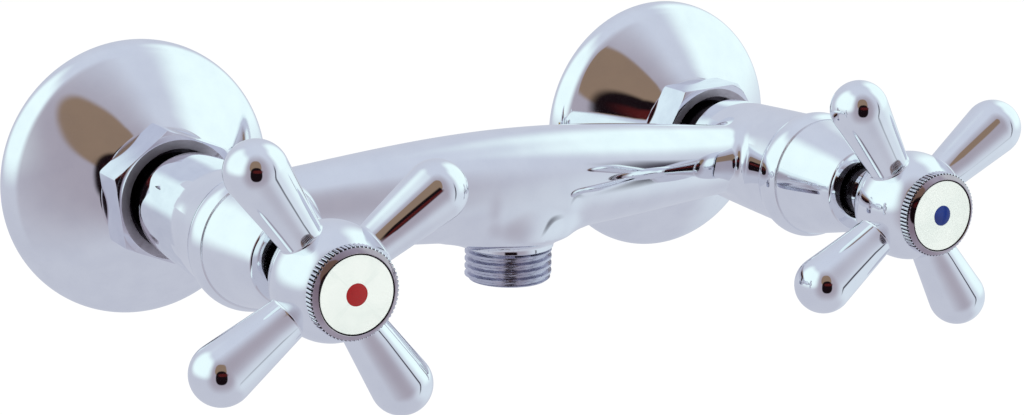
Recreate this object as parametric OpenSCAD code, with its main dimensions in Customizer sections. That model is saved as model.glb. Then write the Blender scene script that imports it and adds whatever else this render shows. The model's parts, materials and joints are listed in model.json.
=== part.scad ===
// Wall-mounted shower mixer tap with two cross handles and a hose outlet below the bar.
// The wall is the plane y = 0 and the tap stands out of it towards -Y, with +Z up.
// The origin lies in the wall plane, midway between the two inlet threads.
// Turned pieces are drawn as outlines of [radius, distance from the wall].

/* [Layout] */
// Distance between the hot and the cold inlet, and between the two valve axes
inlet_spacing = 150; // [140:1:160]
// Height of the valve axes above the threads in the wall
union_offset = 10; // [8:0.5:12]

/* [Threads] */
// Outer radius of the half-inch pipe thread
half_inch_r = 10.48; // [10.3:0.02:10.6]
// Outer radius of the three-quarter-inch pipe thread
three_quarter_r = 13.22; // [13:0.02:13.3]
// Distance from one thread ridge to the next
thread_pitch = 1.814; // [1.6:0.01:2]
// Depth of a thread ridge
thread_depth = 1.1; // [0.8:0.05:1.2]

/* [Wall union] */
// Length of the inlet thread that goes into the wall
wall_thread_len = 22; // [16:1:30]
// Length of the plain collar between that thread and the wall's face
wall_collar_len = 3; // [2:0.5:5]
// Radius of the union behind the rose
union_body_r = 11.6; // [11:0.1:12.4]
// Distance from the wall at which the tap half of the union starts
union_step = 5; // [3:0.5:6]
// Length over which the two halves of the union overlap
union_overlap = 5; // [4.5:0.5:7]
// Radius of the waterway in the wall half
union_inlet_bore_r = 6.5; // [5.5:0.1:7]
// Radius of the waterway in the tap half
union_tap_bore_r = 8.5; // [7.5:0.1:9.5]

/* [Wall rose] */
// Outer radius of the rose
rose_r = 33.4; // [31:0.2:37]
// Radius of the rolled rim of the rose, towards the wall
rose_roll_r = 4; // [3:0.25:5]
// Radius of the rounding between the rim of the rose and its slope
rose_shoulder_r = 7; // [5:0.25:9]
// Depth of the rose from the wall to the union nut
rose_depth = 21; // [18:0.5:25]
// Radius at which the slope of the rose ends, behind the nut
rose_front_r = 15.2; // [15:0.1:16.6]
// Degrees by which the slope of the rose flattens on its way to the nut
rose_bend = 8; // [0:1:16]
// Thickness of the pressed metal of the rose
rose_wall = 1.2; // [0.8:0.1:1.6]

/* [Union nut and inlet] */
// Width across the flats of the union nut
nut_af = 29; // [28.6:0.1:32]
// Length of the union nut
nut_len = 10; // [9:0.5:13]
// Thickness of the lip that holds the tailpiece
nut_lip = 3; // [2:0.25:3.5]
// Radius of the hole in the lip of the nut
nut_mouth_r = 11.9; // [11.3:0.1:12.2]
// Radius at which the dished part of the nut's front face starts
nut_dish_r = 14.1; // [13.4:0.1:14.2]
// Depth of the dished part of the nut's front face
nut_dish = 0.3; // [0.2:0.1:1]
// Chamfer on the corners of the nut
nut_chamfer = 1; // [0.5:0.1:1.5]
// Turn of the hot nut on its thread
hot_nut_turn = 38; // [0:1:59]
// Turn of the cold nut on its thread
cold_nut_turn = 3; // [0:1:59]
// Thickness of the sealing washer in the nut
washer_t = 2; // [1.5:0.25:2.5]
// Thickness of the tailpiece's flange
flange_t = 2; // [1.5:0.25:2.5]
// Radius of the tailpiece's neck
tail_neck_r = 10.6; // [10:0.1:11]
// Radius of the waterway in the tailpiece
tail_bore_r = 7.5; // [6.5:0.1:8.2]
// Length of the tailpiece that is screwed into the barrel
tail_thread_len = 8; // [6:0.5:9]
// Gap between the nut and the back of the barrel
neck_gap = 5; // [3:0.5:7]

/* [Body] */
// Length of each barrel
barrel_len = 34.5; // [32:0.5:38]
// Radius of the barrel at its back edge
barrel_back_r = 12.3; // [12:0.1:13]
// Radius of the barrel at its front edge
barrel_front_r = 14.1; // [13.6:0.1:14.6]
// Bevel at the back edge of the barrel
barrel_bevel = 1; // [0.5:0.1:1.5]
// Thickness of the valve seat in the barrel
seat_t = 4; // [3:0.25:5]
// Radius of the hole in the valve seat
seat_hole_r = 5.6; // [4.8:0.1:6]
// Distance of the bar's axis in front of the back of the barrels
bar_setback = 17.5; // [16:0.25:20]
// Height of the bar's axis above the valve axes
bar_rise = 1.2; // [0:0.1:2]
// Radius of the bar at its middle
bar_mid_r = 13; // [12:0.25:14]
// Radius of the bar where it enters a barrel
bar_end_r = 7.6; // [7:0.1:8.5]
// How far the bar's swelling is drawn in towards its middle
bar_taper = 0.7; // [0:0.05:0.9]
// Radius of the waterway along the bar
bar_bore_r = 4.5; // [3.5:0.1:5]

/* [Hose outlet] */
// Length of the hose thread
outlet_thread_len = 8; // [7:0.5:11]
// Depth of the hose thread's lower end below the valve axes
outlet_drop = 22.2; // [20:0.1:25]
// Radius of the waterway in the outlet
outlet_bore_r = 6.2; // [5:0.1:6.8]
// Radius of the outlet nipple's end that is screwed into the body
nipple_r = 8.6; // [8.2:0.1:9]
// Length of the outlet nipple's end that is screwed into the body
nipple_len = 8; // [6:0.5:9]
// How far the belly over the outlet reaches along the bar, from the middle
belly_reach = 23; // [20:0.5:28]
// How sharply the belly curves down beside the outlet
belly_curve = 2; // [1.6:0.1:3]

/* [Valve] */
// Width across the flats of the housing's hexagon
housing_af = 20; // [19:0.5:21]
// Thickness of the housing's hexagon
housing_hex_t = 4; // [3:0.25:5]
// Radius of the housing's stem
stem_r = 8; // [7.6:0.1:8.4]
// Length of the housing's stem in front of the hexagon
stem_len = 15.5; // [14:0.5:17]
// Outer radius of the cage round the ceramic discs
cage_r = 9.3; // [9.1:0.05:9.6]
// Length of the cage
cage_len = 11.5; // [10.5:0.25:12.5]
// Radius of the ceramic discs
disc_r = 7.2; // [6.8:0.05:7.4]
// Thickness of the ceramic disc that stands still
fixed_disc_t = 3; // [2.5:0.25:3.5]
// Thickness of the ceramic disc that turns
moving_disc_t = 3.8; // [3.4:0.1:4.2]
// Angle that each port in the ceramic discs takes
port_angle = 80; // [60:1:85]
// Height of the rubber seal between the seat and the discs
seat_seal_t = 2.3; // [2:0.1:2.8]
// Radius of the splined end of the spindle
spindle_r = 4; // [3.5:0.1:4.4]
// Radius of the spindle's sealed shoulder
shoulder_r = 5.9; // [5.6:0.1:6.4]
// Length of the spindle's sealed shoulder
shoulder_len = 13; // [11:0.5:14.5]
// Thickness of the round sealing rings
ring_section = 1.5; // [1.2:0.1:1.7]
// Length of the splines on the spindle
spline_len = 12; // [9:0.5:13]
// Number of splines round the spindle
spline_count = 20; // [16:1:24]
// Running clearance between the spindle and the housing
running_fit = 0.05; // [0.03:0.01:0.08]

/* [Valve cover] */
// Radius of the bead at the back of the cover
cover_r = 15.5; // [15.1:0.1:16]
// Length of the cover
cover_len = 22.7; // [21.5:0.1:24]
// Radius of the curve of the bead's surface
cover_bead_r = 5.9; // [5.4:0.1:6.6]
// Radius at the front of the cover's slope
cover_nose_r = 10.4; // [10.2:0.1:11.4]
// Radius of the rounded nose of the cover
cover_round = 0.9; // [0.6:0.1:1.4]
// Radius of the hole in the front of the cover
cover_mouth_r = 6.7; // [6.6:0.05:7.2]
// Thickness of the cover's wall
cover_wall = 1.5; // [1.2:0.1:1.6]

/* [Handle] */
// Radius of the ball in the middle of the handle
hub_r = 12.7; // [12.3:0.1:14]
// Distance from the front of the valve cover to the middle of the ball
hub_gap = 17.1; // [16.5:0.1:19]
// Radius of the handle's neck
neck_r = 6; // [5.7:0.1:6.2]
// Distance of the middle of an arm's round tip from the handle's axis
arm_reach = 29.1; // [26:0.1:33]
// Radius of an arm's round tip
arm_tip_r = 6.7; // [5.8:0.1:7.4]
// Radius of an arm at its root
arm_root_r = 4.8; // [4:0.1:5.4]
// Angle of the first arm above the horizontal
arm_turn = 34; // [0:1:89]
// Depth of the round recess in the front of the ball
recess_depth = 7.6; // [6.5:0.1:8]
// Radius of the recess
recess_r = 8.25; // [8:0.05:8.6]
// Thickness of the web that the screw clamps
web_t = 3.5; // [3:0.25:4.5]
// Radius of the screw's shank
screw_r = 2; // [1.8:0.1:2.2]
// Radius of the screw's head
screw_head_r = 3.7; // [3.3:0.1:4.2]
// Height of the screw's head
screw_head_t = 2.4; // [2:0.1:3]
// Length of the screw's shank
screw_len = 11; // [9:0.5:12]

/* [Index ring and disc] */
// Radius of the knurled ring
index_r = 9.9; // [9.7:0.05:10.4]
// Height of the knurled part of the ring
index_knurl_t = 2.7; // [2.2:0.1:3.4]
// Height of the bevel in front of the knurling
index_bevel_t = 0.8; // [0.5:0.1:1.2]
// Length of the ring's spigot in the ball
spigot_len = 3.4; // [2.5:0.1:4.5]
// Number of teeth round the ring
index_teeth = 66; // [40:2:80]
// Depth of the knurling
index_tooth_depth = 0.45; // [0.3:0.05:0.5]
// Radius of the disc with the mark
index_disc_r = 8.35; // [8:0.05:8.5]
// Thickness of the disc with the mark
index_disc_t = 1.5; // [1:0.1:1.8]

/* [Hidden] */
$fn = 72;
hot = -1;
cold = 1;

// Gap between threads that are screwed together
thread_fit = 0.07;
// Gap between a piece and the socket that holds it still
socket_fit = 0.05;
// Gap between flat faces that slide on each other
face_gap = 0.05;
// Gap between pieces that must not rub
free_gap = 0.4;
// Width of a visible joint line between two fixed pieces
joint_line = 0.2;
// A blended shape starts this far below the surface that it grows from
sink = 0.2;
// Small bevel that breaks a sharp edge
edge = 0.4;
// Bevel at the mouth of a waterway
mouth_bevel = 1.2;
// Least thickness of metal between two waterways
web = 2;
// A cut runs this far past the face that it opens
past = 1;

// Parts of the spindle and of its clip
// Thickness of the spindle's drive plate
drive_t = 3.6;
// How far the drive tongue reaches into the turning disc
drive_tongue = 1.4;
// Width of the drive tongue
tongue_w = 3;
// Depth of a spline
spline_depth = 0.35;
// The splines stand a little lower than the spindle behind them
spline_r = spindle_r - socket_fit;
// Thickness of the spring clip
clip_t = 0.8;

// Distances from the wall, in order along a valve axis
nut_front = rose_depth + nut_len;
flange_front = nut_front - nut_lip;
flange_back = flange_front - flange_t;
union_end = flange_back - washer_t;
barrel_back = nut_front + neck_gap;
barrel_front = barrel_back + barrel_len;
seat_back = barrel_back + tail_thread_len;
seat_front = seat_back + seat_t;
fixed_back = seat_front + seat_seal_t;
fixed_front = fixed_back + fixed_disc_t;
moving_back = fixed_front + face_gap;
moving_front = moving_back + moving_disc_t;
cage_back = seat_front + free_gap;
cage_front = cage_back + cage_len;
drive_back = moving_front + face_gap;
shoulder_front = drive_back + drive_t + shoulder_len;
hex_front = barrel_front + housing_hex_t;
stem_front = hex_front + stem_len;
cover_back = barrel_front + joint_line;
cover_front = cover_back + cover_len;
clip_back = stem_front + running_fit;
hub_d = cover_front + hub_gap;
bar_d = barrel_back + bar_setback;

// The front of the ball is cut flat where the knurled ring sits on it
hub_flat_r = index_r - index_tooth_depth;
hub_front = hub_d + sqrt(hub_r * hub_r - hub_flat_r * hub_flat_r);
recess_floor = hub_front - recess_depth;
spindle_front = recess_floor - web_t - free_gap;
spline_back = spindle_front - spline_len;
neck_back = stem_front + clip_t + 3 * free_gap;
index_back = hub_front + face_gap;
index_front = index_back + index_knurl_t + index_bevel_t;
disc_back = index_front - index_disc_t;

// Radii inside the valve
chamber_r = half_inch_r + thread_fit;
disc_gap = 0.3;
cage_bore_r = disc_r + disc_gap;
drive_r = disc_r - disc_gap / 3;
shoulder_bore_r = shoulder_r + running_fit;

// Ports of the ceramic discs, and the ears that hold the fixed one
port_inner_r = 1.8;
port_rim = 1.6;
ear_w = 2.5;
ear_r = cage_r - 0.5;
window_w = 8;

// Sealing rings and their grooves
ring_slack = 0.02;
ring_groove_w = ring_section + 0.3;
ring_r = shoulder_r - ring_section / 2;
ring_groove_r = ring_r - ring_section / 2 - ring_slack;
spindle_ring_d = [for (share = [0.3, 0.7]) drive_back + drive_t + shoulder_len * share];
housing_ring_r = chamber_r - running_fit - ring_section / 2;
housing_groove_r = housing_ring_r - ring_section / 2 - ring_slack;
housing_ring_d = barrel_front - ring_groove_w / 2 - joint_line;

// Spring clip and its groove
clip_r = spindle_r + 1.7;
clip_groove_r = spindle_r - 0.5;

// The tailpiece's thread is smaller than its neck, which so stops against the barrel
tail_screw_r = tail_neck_r - 0.8;
// Angle at which an arm's taper runs tangent into its round tip
arm_flank = -asin((arm_tip_r - arm_root_r) / (arm_reach - hub_r));

// Height of the hose thread's upper end, from the valve axes
outlet_top = outlet_thread_len - outlet_drop;
// Depth below the bar's axis of the axis that the belly is turned round
belly_drop = 3;
// Radius of the boss round the outlet
boss_r = half_inch_r + 0.3;

// Moves a piece drawn along +Z onto the hot or the cold valve axis, pointing away from the wall
module on_valve(side) {
    translate([side * inlet_spacing / 2, 0, union_offset])
        rotate([90, 0, 0])
            children();
}

// Points of an arc round [x, y] from angle a to angle b
function arc(x, y, r, a, b, n = 8) = [for (i = [0 : n]) [
    x + r * cos(a + (b - a) * i / n),
    y + r * sin(a + (b - a) * i / n)
]];

// Ridges of an outside thread between two heights, from the lower to the upper
function ridges(r, low, high) =
    let (
        count = floor((high - low) / thread_pitch),
        start = low + (high - low - count * thread_pitch) / 2,
        flat = thread_pitch / 5
    )
    [for (i = [0 : count - 1]) each [
        [r - thread_depth, start + i * thread_pitch],
        [r - thread_depth, start + i * thread_pitch + flat / 2],
        [r, start + (i + 0.5) * thread_pitch - flat],
        [r, start + (i + 0.5) * thread_pitch + flat],
        [r - thread_depth, start + (i + 1) * thread_pitch - flat / 2]
    ]];

// A ring or a tube: outer radius, inner radius, back and front
module tube(outer, inner, back, front) {
    translate([0, 0, back])
        difference() {
            cylinder(r = outer, h = front - back);
            translate([0, 0, -past])
                cylinder(r = inner, h = front - back + 2 * past);
        }
}

// A cylinder between two distances from the wall
module rod(r, back, front) {
    translate([0, 0, back])
        cylinder(r = r, h = front - back);
}

// A round sealing ring at radius r and distance d
module seal_ring(r, d) {
    translate([0, 0, d])
        rotate_extrude()
            translate([r, 0])
                circle(d = ring_section, $fn = 24);
}

// A hexagon of the given width across the flats with its corners chamfered, mostly in front
module hexagon(af, back, front, chamfer) {
    corner_r = af / sqrt(3);
    slope = corner_r - af / 2;
    intersection() {
        translate([0, 0, back])
            cylinder(r = corner_r, h = front - back, $fn = 6);
        rotate_extrude()
            polygon([
                [0, back],
                [corner_r - edge / 2, back],
                [corner_r, back + edge / 2],
                [corner_r, front - chamfer / 2],
                [corner_r - slope / 2, front],
                [0, front]
            ]);
    }
}

// Eccentric union: inlet thread in the wall, larger thread towards the tap
module wall_union() {
    wall_axis = -union_offset;
    body_len = union_step + union_overlap;
    root_r = half_inch_r - thread_depth;
    color([0.78, 0.66, 0.38])
        difference() {
            union() {
                translate([0, wall_axis, 0])
                    rotate_extrude()
                        polygon(concat(
                            [[0, -wall_thread_len], [root_r, -wall_thread_len]],
                            ridges(half_inch_r, -wall_thread_len, -wall_collar_len),
                            [[half_inch_r, -wall_collar_len], [half_inch_r, 0], [0, 0]]
                        ));
                translate([0, wall_axis, 0])
                    rod(union_body_r, 0, body_len);
                rod(three_quarter_r, union_step, union_end);
            }
            translate([0, wall_axis, 0])
                rod(union_inlet_bore_r, -wall_thread_len - past, body_len - web);
            rod(union_tap_bore_r, union_step + web, union_end + past);
        }
}

// Middle of the rose's shoulder, end of its slope at the nut, and the angle at which the slope starts
rose_steps = 6;
rose_shoulder = [rose_r - rose_shoulder_r, rose_roll_r];
rose_top = [rose_front_r, rose_depth];
rose_run = rose_top - rose_shoulder;
rose_tilt = atan2(rose_run[1], rose_run[0]) - acos(rose_shoulder_r / norm(rose_run)) - rose_bend / 2;

// Outline of the rose's slope from its shoulder to the nut, moved in by the wall
function rose_slope(inset) =
    let (
        from = rose_shoulder + (rose_shoulder_r - inset) * [cos(rose_tilt), sin(rose_tilt)],
        to = rose_top - inset * [cos(rose_tilt + rose_bend), sin(rose_tilt + rose_bend)],
        through = from + norm(to - from) / 2 * [-sin(rose_tilt), cos(rose_tilt)]
    )
    [for (i = [0 : rose_steps])
        let (t = i / rose_steps)
        (1 - t) * (1 - t) * from + 2 * t * (1 - t) * through + t * t * to];

// Pressed rose that covers the hole in the wall and the union behind the nut
module wall_rose() {
    rim_x = rose_r - rose_roll_r;
    rim_start = -60;
    rim_end = -12;
    rim_steps = 4;
    back_r = rim_x + rose_roll_r * cos(rim_start);
    bore_r = three_quarter_r + socket_fit;
    color([0.8, 0.81, 0.85])
        rotate_extrude()
            polygon(concat(
                [[back_r - rose_wall, 0], [back_r - edge / 2, 0]],
                arc(rim_x, rose_roll_r, rose_roll_r, rim_start, rim_end, rim_steps),
                arc(rose_shoulder[0], rose_roll_r, rose_shoulder_r, 0, rose_tilt, rose_steps),
                [for (i = [1 : rose_steps]) rose_slope(0)[i]],
                [[bore_r, rose_depth], [bore_r, rose_depth - rose_wall]],
                [[rose_front_r - rose_wall, rose_depth - rose_wall]],
                [for (i = [rose_steps - 1 : -1 : 1]) rose_slope(rose_wall)[i]],
                arc(rose_shoulder[0], rose_roll_r, rose_shoulder_r - rose_wall, rose_tilt, 0, rose_steps),
                arc(rim_x, rose_roll_r, rose_roll_r - rose_wall, rim_end, rim_start, rim_steps)
            ));
}

// Union nut that draws the tailpiece onto the wall union
module union_nut(turn) {
    color([0.72, 0.73, 0.78])
        difference() {
            rotate([0, 0, turn])
                hexagon(nut_af, rose_depth, nut_front, nut_chamfer);
            rod(three_quarter_r + thread_fit, rose_depth - past, flange_front);
            rod(nut_mouth_r, rose_depth, nut_front + past);
            translate([0, 0, nut_front - nut_dish])
                cylinder(r1 = nut_mouth_r, r2 = 2 * nut_dish_r - nut_mouth_r, h = 2 * nut_dish);
        }
}

// Flat washer between the wall union and the tailpiece
module inlet_washer() {
    color([0.16, 0.16, 0.17])
        tube(three_quarter_r - thread_depth, union_tap_bore_r, union_end, flange_back);
}

// Swivel tailpiece: flange in the nut, neck through it, thread in the barrel
module inlet_tailpiece() {
    color([0.45, 0.42, 0.38])
        difference() {
            union() {
                rod(three_quarter_r - free_gap, flange_back, flange_front);
                rod(tail_neck_r, flange_front, barrel_back);
                rod(tail_screw_r, barrel_back, seat_back - socket_fit);
            }
            rod(tail_bore_r, flange_back - past, seat_back + past);
        }
}

// Radius of the bar at a distance x from the middle
function bar_radius(x) =
    let (u = 1 - pow(x / (inlet_spacing / 2), 2))
    bar_end_r + (bar_mid_r - bar_end_r) * u * (1 - bar_taper + bar_taper * u);

belly_steps = 10;
// Half of the belly's outline as [depth below the bar's axis, x], from its end to the boss
function belly_half(side) = [for (i = [0 : belly_steps])
    let (
        t = i / belly_steps,
        x = belly_reach + (boss_r - belly_reach) * t,
        far = bar_radius(belly_reach) - sink
    )
    [far + (bar_rise - outlet_top - far) * pow(t, belly_curve), side * x]];

// Outline of a shape that is turned round the bar, as [radius, x] from end to end
module turned_bar(drop) {
    translate([0, -bar_d, union_offset + bar_rise - drop])
        rotate([0, 90, 0])
            rotate_extrude()
                children();
}

// Outside of one barrel
module barrel_shape() {
    steps = 6;
    flare = 0.8;
    rotate_extrude()
        polygon([
            [0, barrel_back],
            [barrel_back_r - barrel_bevel, barrel_back],
            [barrel_back_r, barrel_back + barrel_bevel * 1.5],
            each [for (i = [1 : steps])
                [barrel_back_r + (barrel_front_r - barrel_back_r) * pow(i / steps, flare),
                 barrel_back + (barrel_len - edge) * i / steps]],
            [barrel_front_r - edge, barrel_front],
            [0, barrel_front]
        ]);
}

// Waterways of one barrel: socket of the tailpiece, seat and valve chamber
module barrel_bores() {
    rod(tail_screw_r + socket_fit, barrel_back - past, seat_back);
    rod(seat_hole_r, seat_back - past, seat_front + past);
    rod(chamber_r, seat_front, barrel_front + past);
}

// Cast body: two barrels, the swelling bar between them and the boss of the outlet
module mixer_body() {
    half = inlet_spacing / 2;
    steps = 24;
    color([0.8, 0.81, 0.86])
        difference() {
            union() {
                on_valve(hot) barrel_shape();
                on_valve(cold) barrel_shape();
                turned_bar(0)
                    polygon([
                        [0, -half],
                        each [for (i = [0 : steps])
                            let (x = -half + inlet_spacing * i / steps)
                            [bar_radius(x), x]],
                        [0, half]
                    ]);
                turned_bar(belly_drop)
                    polygon([
                        [0, -belly_reach],
                        each [for (p = belly_half(-1)) [p[0] - belly_drop, p[1]]],
                        each [for (i = [belly_steps : -1 : 0])
                            let (p = belly_half(1)[i])
                            [p[0] - belly_drop, p[1]]],
                        [0, belly_reach]
                    ]);
                translate([0, -bar_d, union_offset + outlet_top])
                    cylinder(r = boss_r, h = bar_rise - outlet_top);
            }
            on_valve(hot) barrel_bores();
            on_valve(cold) barrel_bores();
            translate([-half, -bar_d, union_offset + bar_rise])
                rotate([0, 90, 0])
                    cylinder(r = bar_bore_r, h = inlet_spacing);
            translate([0, -bar_d, union_offset + outlet_top - past])
                cylinder(r = nipple_r + socket_fit, h = nipple_len + past + socket_fit);
            translate([0, -bar_d, union_offset + outlet_top])
                cylinder(r = outlet_bore_r, h = bar_rise - outlet_top);
        }
}

// Nipple that carries the hose thread, screwed up into the boss
module hose_outlet_nipple() {
    seat_r = outlet_bore_r + mouth_bevel;
    root_r = half_inch_r - thread_depth;
    color([0.6, 0.6, 0.66])
        translate([0, -bar_d, union_offset])
            rotate_extrude()
                polygon(concat(
                    [[seat_r, -outlet_drop], [root_r, -outlet_drop]],
                    ridges(half_inch_r, -outlet_drop, outlet_top),
                    [[root_r, outlet_top], [nipple_r, outlet_top]],
                    [[nipple_r, outlet_top + nipple_len], [outlet_bore_r, outlet_top + nipple_len]],
                    [[outlet_bore_r, mouth_bevel - outlet_drop]]
                ));
}

// Brass housing of the ceramic valve, screwed into the barrel
module valve_housing() {
    hex_chamfer = 1;
    color([0.76, 0.63, 0.34])
        difference() {
            union() {
                rod(cage_r, cage_back, cage_front);
                rod(half_inch_r, cage_front, barrel_front);
                hexagon(housing_af, barrel_front, hex_front, hex_chamfer);
                rod(stem_r, hex_front, stem_front);
            }
            rod(cage_bore_r, cage_back - past, drive_back + drive_t + free_gap);
            rod(shoulder_bore_r, drive_back, shoulder_front + free_gap);
            rod(spindle_r + running_fit, shoulder_front, stem_front + past);
            translate([-cage_r - past, -window_w / 2, moving_back])
                cube([2 * (cage_r + past), window_w, cage_front - moving_back]);
            translate([-ear_w / 2 - socket_fit, -ear_r - socket_fit, cage_back - past])
                cube([ear_w + 2 * socket_fit, 2 * (ear_r + socket_fit), fixed_front - cage_back + past]);
            tube(chamber_r + past, housing_groove_r,
                 housing_ring_d - ring_groove_w / 2, housing_ring_d + ring_groove_w / 2);
        }
}

// Ring that seals the housing in the barrel
module housing_seal() {
    color([0.1, 0.1, 0.11])
        seal_ring(housing_ring_r, housing_ring_d);
}

// Rubber seal between the valve seat and the fixed disc
module seat_seal() {
    color([0.12, 0.12, 0.13])
        tube(disc_r, seat_hole_r, seat_front, fixed_back);
}

// Two opposite ports in a ceramic disc, from radius a to radius b
module ports(a, b, back, front) {
    for (turn = [0, 180])
        rotate([0, 0, turn])
            translate([0, 0, back])
                linear_extrude(height = front - back)
                    polygon(concat(
                        arc(0, 0, b, -port_angle / 2, port_angle / 2, 10),
                        arc(0, 0, a, port_angle / 2, -port_angle / 2, 4)
                    ));
}

// Ceramic disc that the seal presses into the housing, held by two ears
module fixed_disc() {
    color([0.94, 0.94, 0.92])
        difference() {
            union() {
                rod(disc_r, fixed_back, fixed_front);
                translate([-ear_w / 2, -ear_r, fixed_back])
                    cube([ear_w, 2 * ear_r, fixed_disc_t]);
            }
            ports(port_inner_r, disc_r - port_rim, fixed_back - past, fixed_front + past);
        }
}

// Ceramic disc that the spindle turns; its pockets lead water out at the side
module moving_disc() {
    pocket = moving_disc_t / 2;
    color([0.97, 0.97, 0.95])
        difference() {
            rod(disc_r, moving_back, moving_front);
            rotate([0, 0, 90])
                ports(port_inner_r, disc_r + past, moving_back - past, moving_back + pocket);
            translate([-disc_r, -tongue_w / 2 - socket_fit, moving_front - drive_tongue])
                cube([2 * disc_r, tongue_w + 2 * socket_fit, drive_tongue + past]);
        }
}

// A splined rod between two distances from the wall
module splines(r, back, front) {
    translate([0, 0, back])
        linear_extrude(height = front - back)
            polygon([for (i = [0 : 2 * spline_count - 1])
                let (angle = i * 180 / spline_count)
                (r - spline_depth * (i % 2)) * [cos(angle), sin(angle)]]);
}

// Spindle: drive plate with a tongue, sealed shoulder, splined end
module spindle() {
    tongue_back = moving_front - drive_tongue + face_gap;
    color([0.74, 0.6, 0.32])
        difference() {
            union() {
                intersection() {
                    rod(drive_r, tongue_back, drive_back + past);
                    translate([-disc_r, -tongue_w / 2, tongue_back])
                        cube([2 * disc_r, tongue_w, drive_tongue + past]);
                }
                rod(drive_r, drive_back, drive_back + drive_t);
                rod(shoulder_r, drive_back, shoulder_front);
                rod(spindle_r, shoulder_front - past, spline_back);
                splines(spline_r, spline_back, spindle_front);
            }
            for (d = spindle_ring_d)
                tube(shoulder_r + past, ring_groove_r, d - ring_groove_w / 2, d + ring_groove_w / 2);
            tube(spindle_r + past, clip_groove_r, clip_back, clip_back + clip_t + 2 * face_gap);
            rod(screw_r + thread_fit, recess_floor - screw_len - free_gap, spindle_front + past);
        }
}

// The two rings that seal the spindle's shoulder
module spindle_seals() {
    color([0.1, 0.1, 0.11])
        for (d = spindle_ring_d)
            seal_ring(ring_r, d);
}

// Open spring clip that keeps the spindle in the housing
module spindle_clip() {
    mouth = 1.5 * clip_groove_r;
    back = clip_back + face_gap;
    color([0.5, 0.5, 0.52])
        difference() {
            tube(clip_r, clip_groove_r + socket_fit, back, back + clip_t);
            translate([0, -mouth / 2, back - past])
                cube([clip_r + past, mouth, clip_t + 2 * past]);
        }
}

// Chromed cover over the housing, screwed onto its stem: a bead, a fine step and a slope
module valve_cover() {
    bead_angle = 35;
    collar_len = 5;
    collar_t = 1.5;
    bead_x = cover_r - cover_bead_r;
    bead_half = cover_bead_r * sin(bead_angle);
    bead_front = cover_back + 2 * bead_half;
    slope_front = cover_front - cover_round;
    slope_r = bead_x + cover_bead_r * cos(bead_angle) - edge / 2;
    nose_angle = atan((slope_r - cover_nose_r) / (slope_front - bead_front));
    collar_back = stem_front - collar_len;
    collar_front = stem_front + free_gap;
    collar_r = stem_r + thread_fit;
    inner_r = slope_r - cover_wall;
    color([0.8, 0.82, 0.87])
        rotate_extrude()
            polygon(concat(
                [[inner_r, cover_back]],
                arc(bead_x, cover_back + bead_half, cover_bead_r, -bead_angle, bead_angle, 8),
                [[slope_r, bead_front]],
                arc(cover_nose_r - cover_round, slope_front, cover_round, nose_angle, 90, 5),
                [[cover_mouth_r + edge, cover_front], [cover_mouth_r, cover_front - edge]],
                [[cover_mouth_r, collar_front], [collar_r, collar_front]],
                [[collar_r, collar_back], [collar_r + collar_t, collar_back]],
                [[inner_r, bead_front]]
            ));
}

// Cross handle: ball, four tapered arms with round tips, neck, sockets
module handle() {
    arm_fillet = 0.8;
    arm_collar = 1.4;
    neck_fillet = 3;
    arm_start = hub_r - arm_collar;
    reach = hub_r + neck_fillet - sink / 4;
    neck_front = hub_d - sqrt(reach * reach - (neck_r + neck_fillet) * (neck_r + neck_fillet));
    neck_sweep = acos((neck_r + neck_fillet) / reach);
    web_back = recess_floor - web_t;
    color([0.82, 0.84, 0.88])
        difference() {
            union() {
                translate([0, 0, hub_d])
                    sphere(r = hub_r);
                for (i = [0 : 3])
                    translate([0, 0, hub_d])
                        rotate([0, 0, arm_turn + 90 * i])
                            rotate([0, 90, 0])
                                rotate_extrude()
                                    polygon(concat(
                                        [[0, hub_r / 2], [arm_root_r + arm_fillet, hub_r / 2]],
                                        arc(arm_root_r + arm_fillet, arm_start + arm_fillet,
                                            arm_fillet, 270, 180, 5),
                                        arc(0, arm_reach, arm_tip_r, arm_flank, 90, 16)
                                    ));
                rotate_extrude()
                    polygon(concat(
                        [[0, neck_back], [neck_r - edge, neck_back], [neck_r, neck_back + edge]],
                        arc(neck_r + neck_fillet, neck_front, neck_fillet, 180, 180 - neck_sweep, 5),
                        [[0, hub_d]]
                    ));
            }
            rod(hub_r, hub_front, hub_d + hub_r + past);
            rod(recess_r, recess_floor, hub_front + past);
            rod(screw_r + thread_fit, web_back - past, recess_floor + past);
            rod(spindle_r + socket_fit, neck_back - past, spline_back + free_gap);
            splines(spline_r + socket_fit, spline_back, web_back);
        }
}

// Screw that holds the handle on the spindle
module handle_screw() {
    slot_w = 0.8;
    slot_depth = 1;
    head_front = recess_floor + screw_head_t;
    color([0.55, 0.55, 0.57])
        difference() {
            union() {
                rod(screw_head_r, recess_floor, head_front);
                rod(screw_r, recess_floor - screw_len, recess_floor + past);
            }
            translate([-screw_head_r, -slot_w / 2, head_front - slot_depth])
                cube([2 * screw_head_r, slot_w, slot_depth + past]);
        }
}

// Knurled ring that is pressed into the ball and frames the disc
module index_ring() {
    spigot_r = recess_r - socket_fit;
    spigot_back = hub_front - spigot_len;
    ledge_r = index_disc_r - 1.6;
    lip_r = index_disc_r + edge / 2;
    bevel_r = index_r - index_tooth_depth - socket_fit;
    color([0.5, 0.46, 0.5])
        difference() {
            union() {
                rod(spigot_r, spigot_back, index_back + past);
                translate([0, 0, index_back])
                    linear_extrude(height = index_knurl_t)
                        polygon([for (i = [0 : 2 * index_teeth - 1])
                            let (angle = i * 180 / index_teeth)
                            (index_r - index_tooth_depth * (i % 2)) * [cos(angle), sin(angle)]]);
                translate([0, 0, index_back + index_knurl_t])
                    cylinder(r1 = bevel_r, r2 = lip_r, h = index_bevel_t);
            }
            rod(ledge_r, spigot_back - past, disc_back + past);
            rod(index_disc_r + socket_fit, disc_back, index_front + past);
        }
}

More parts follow.
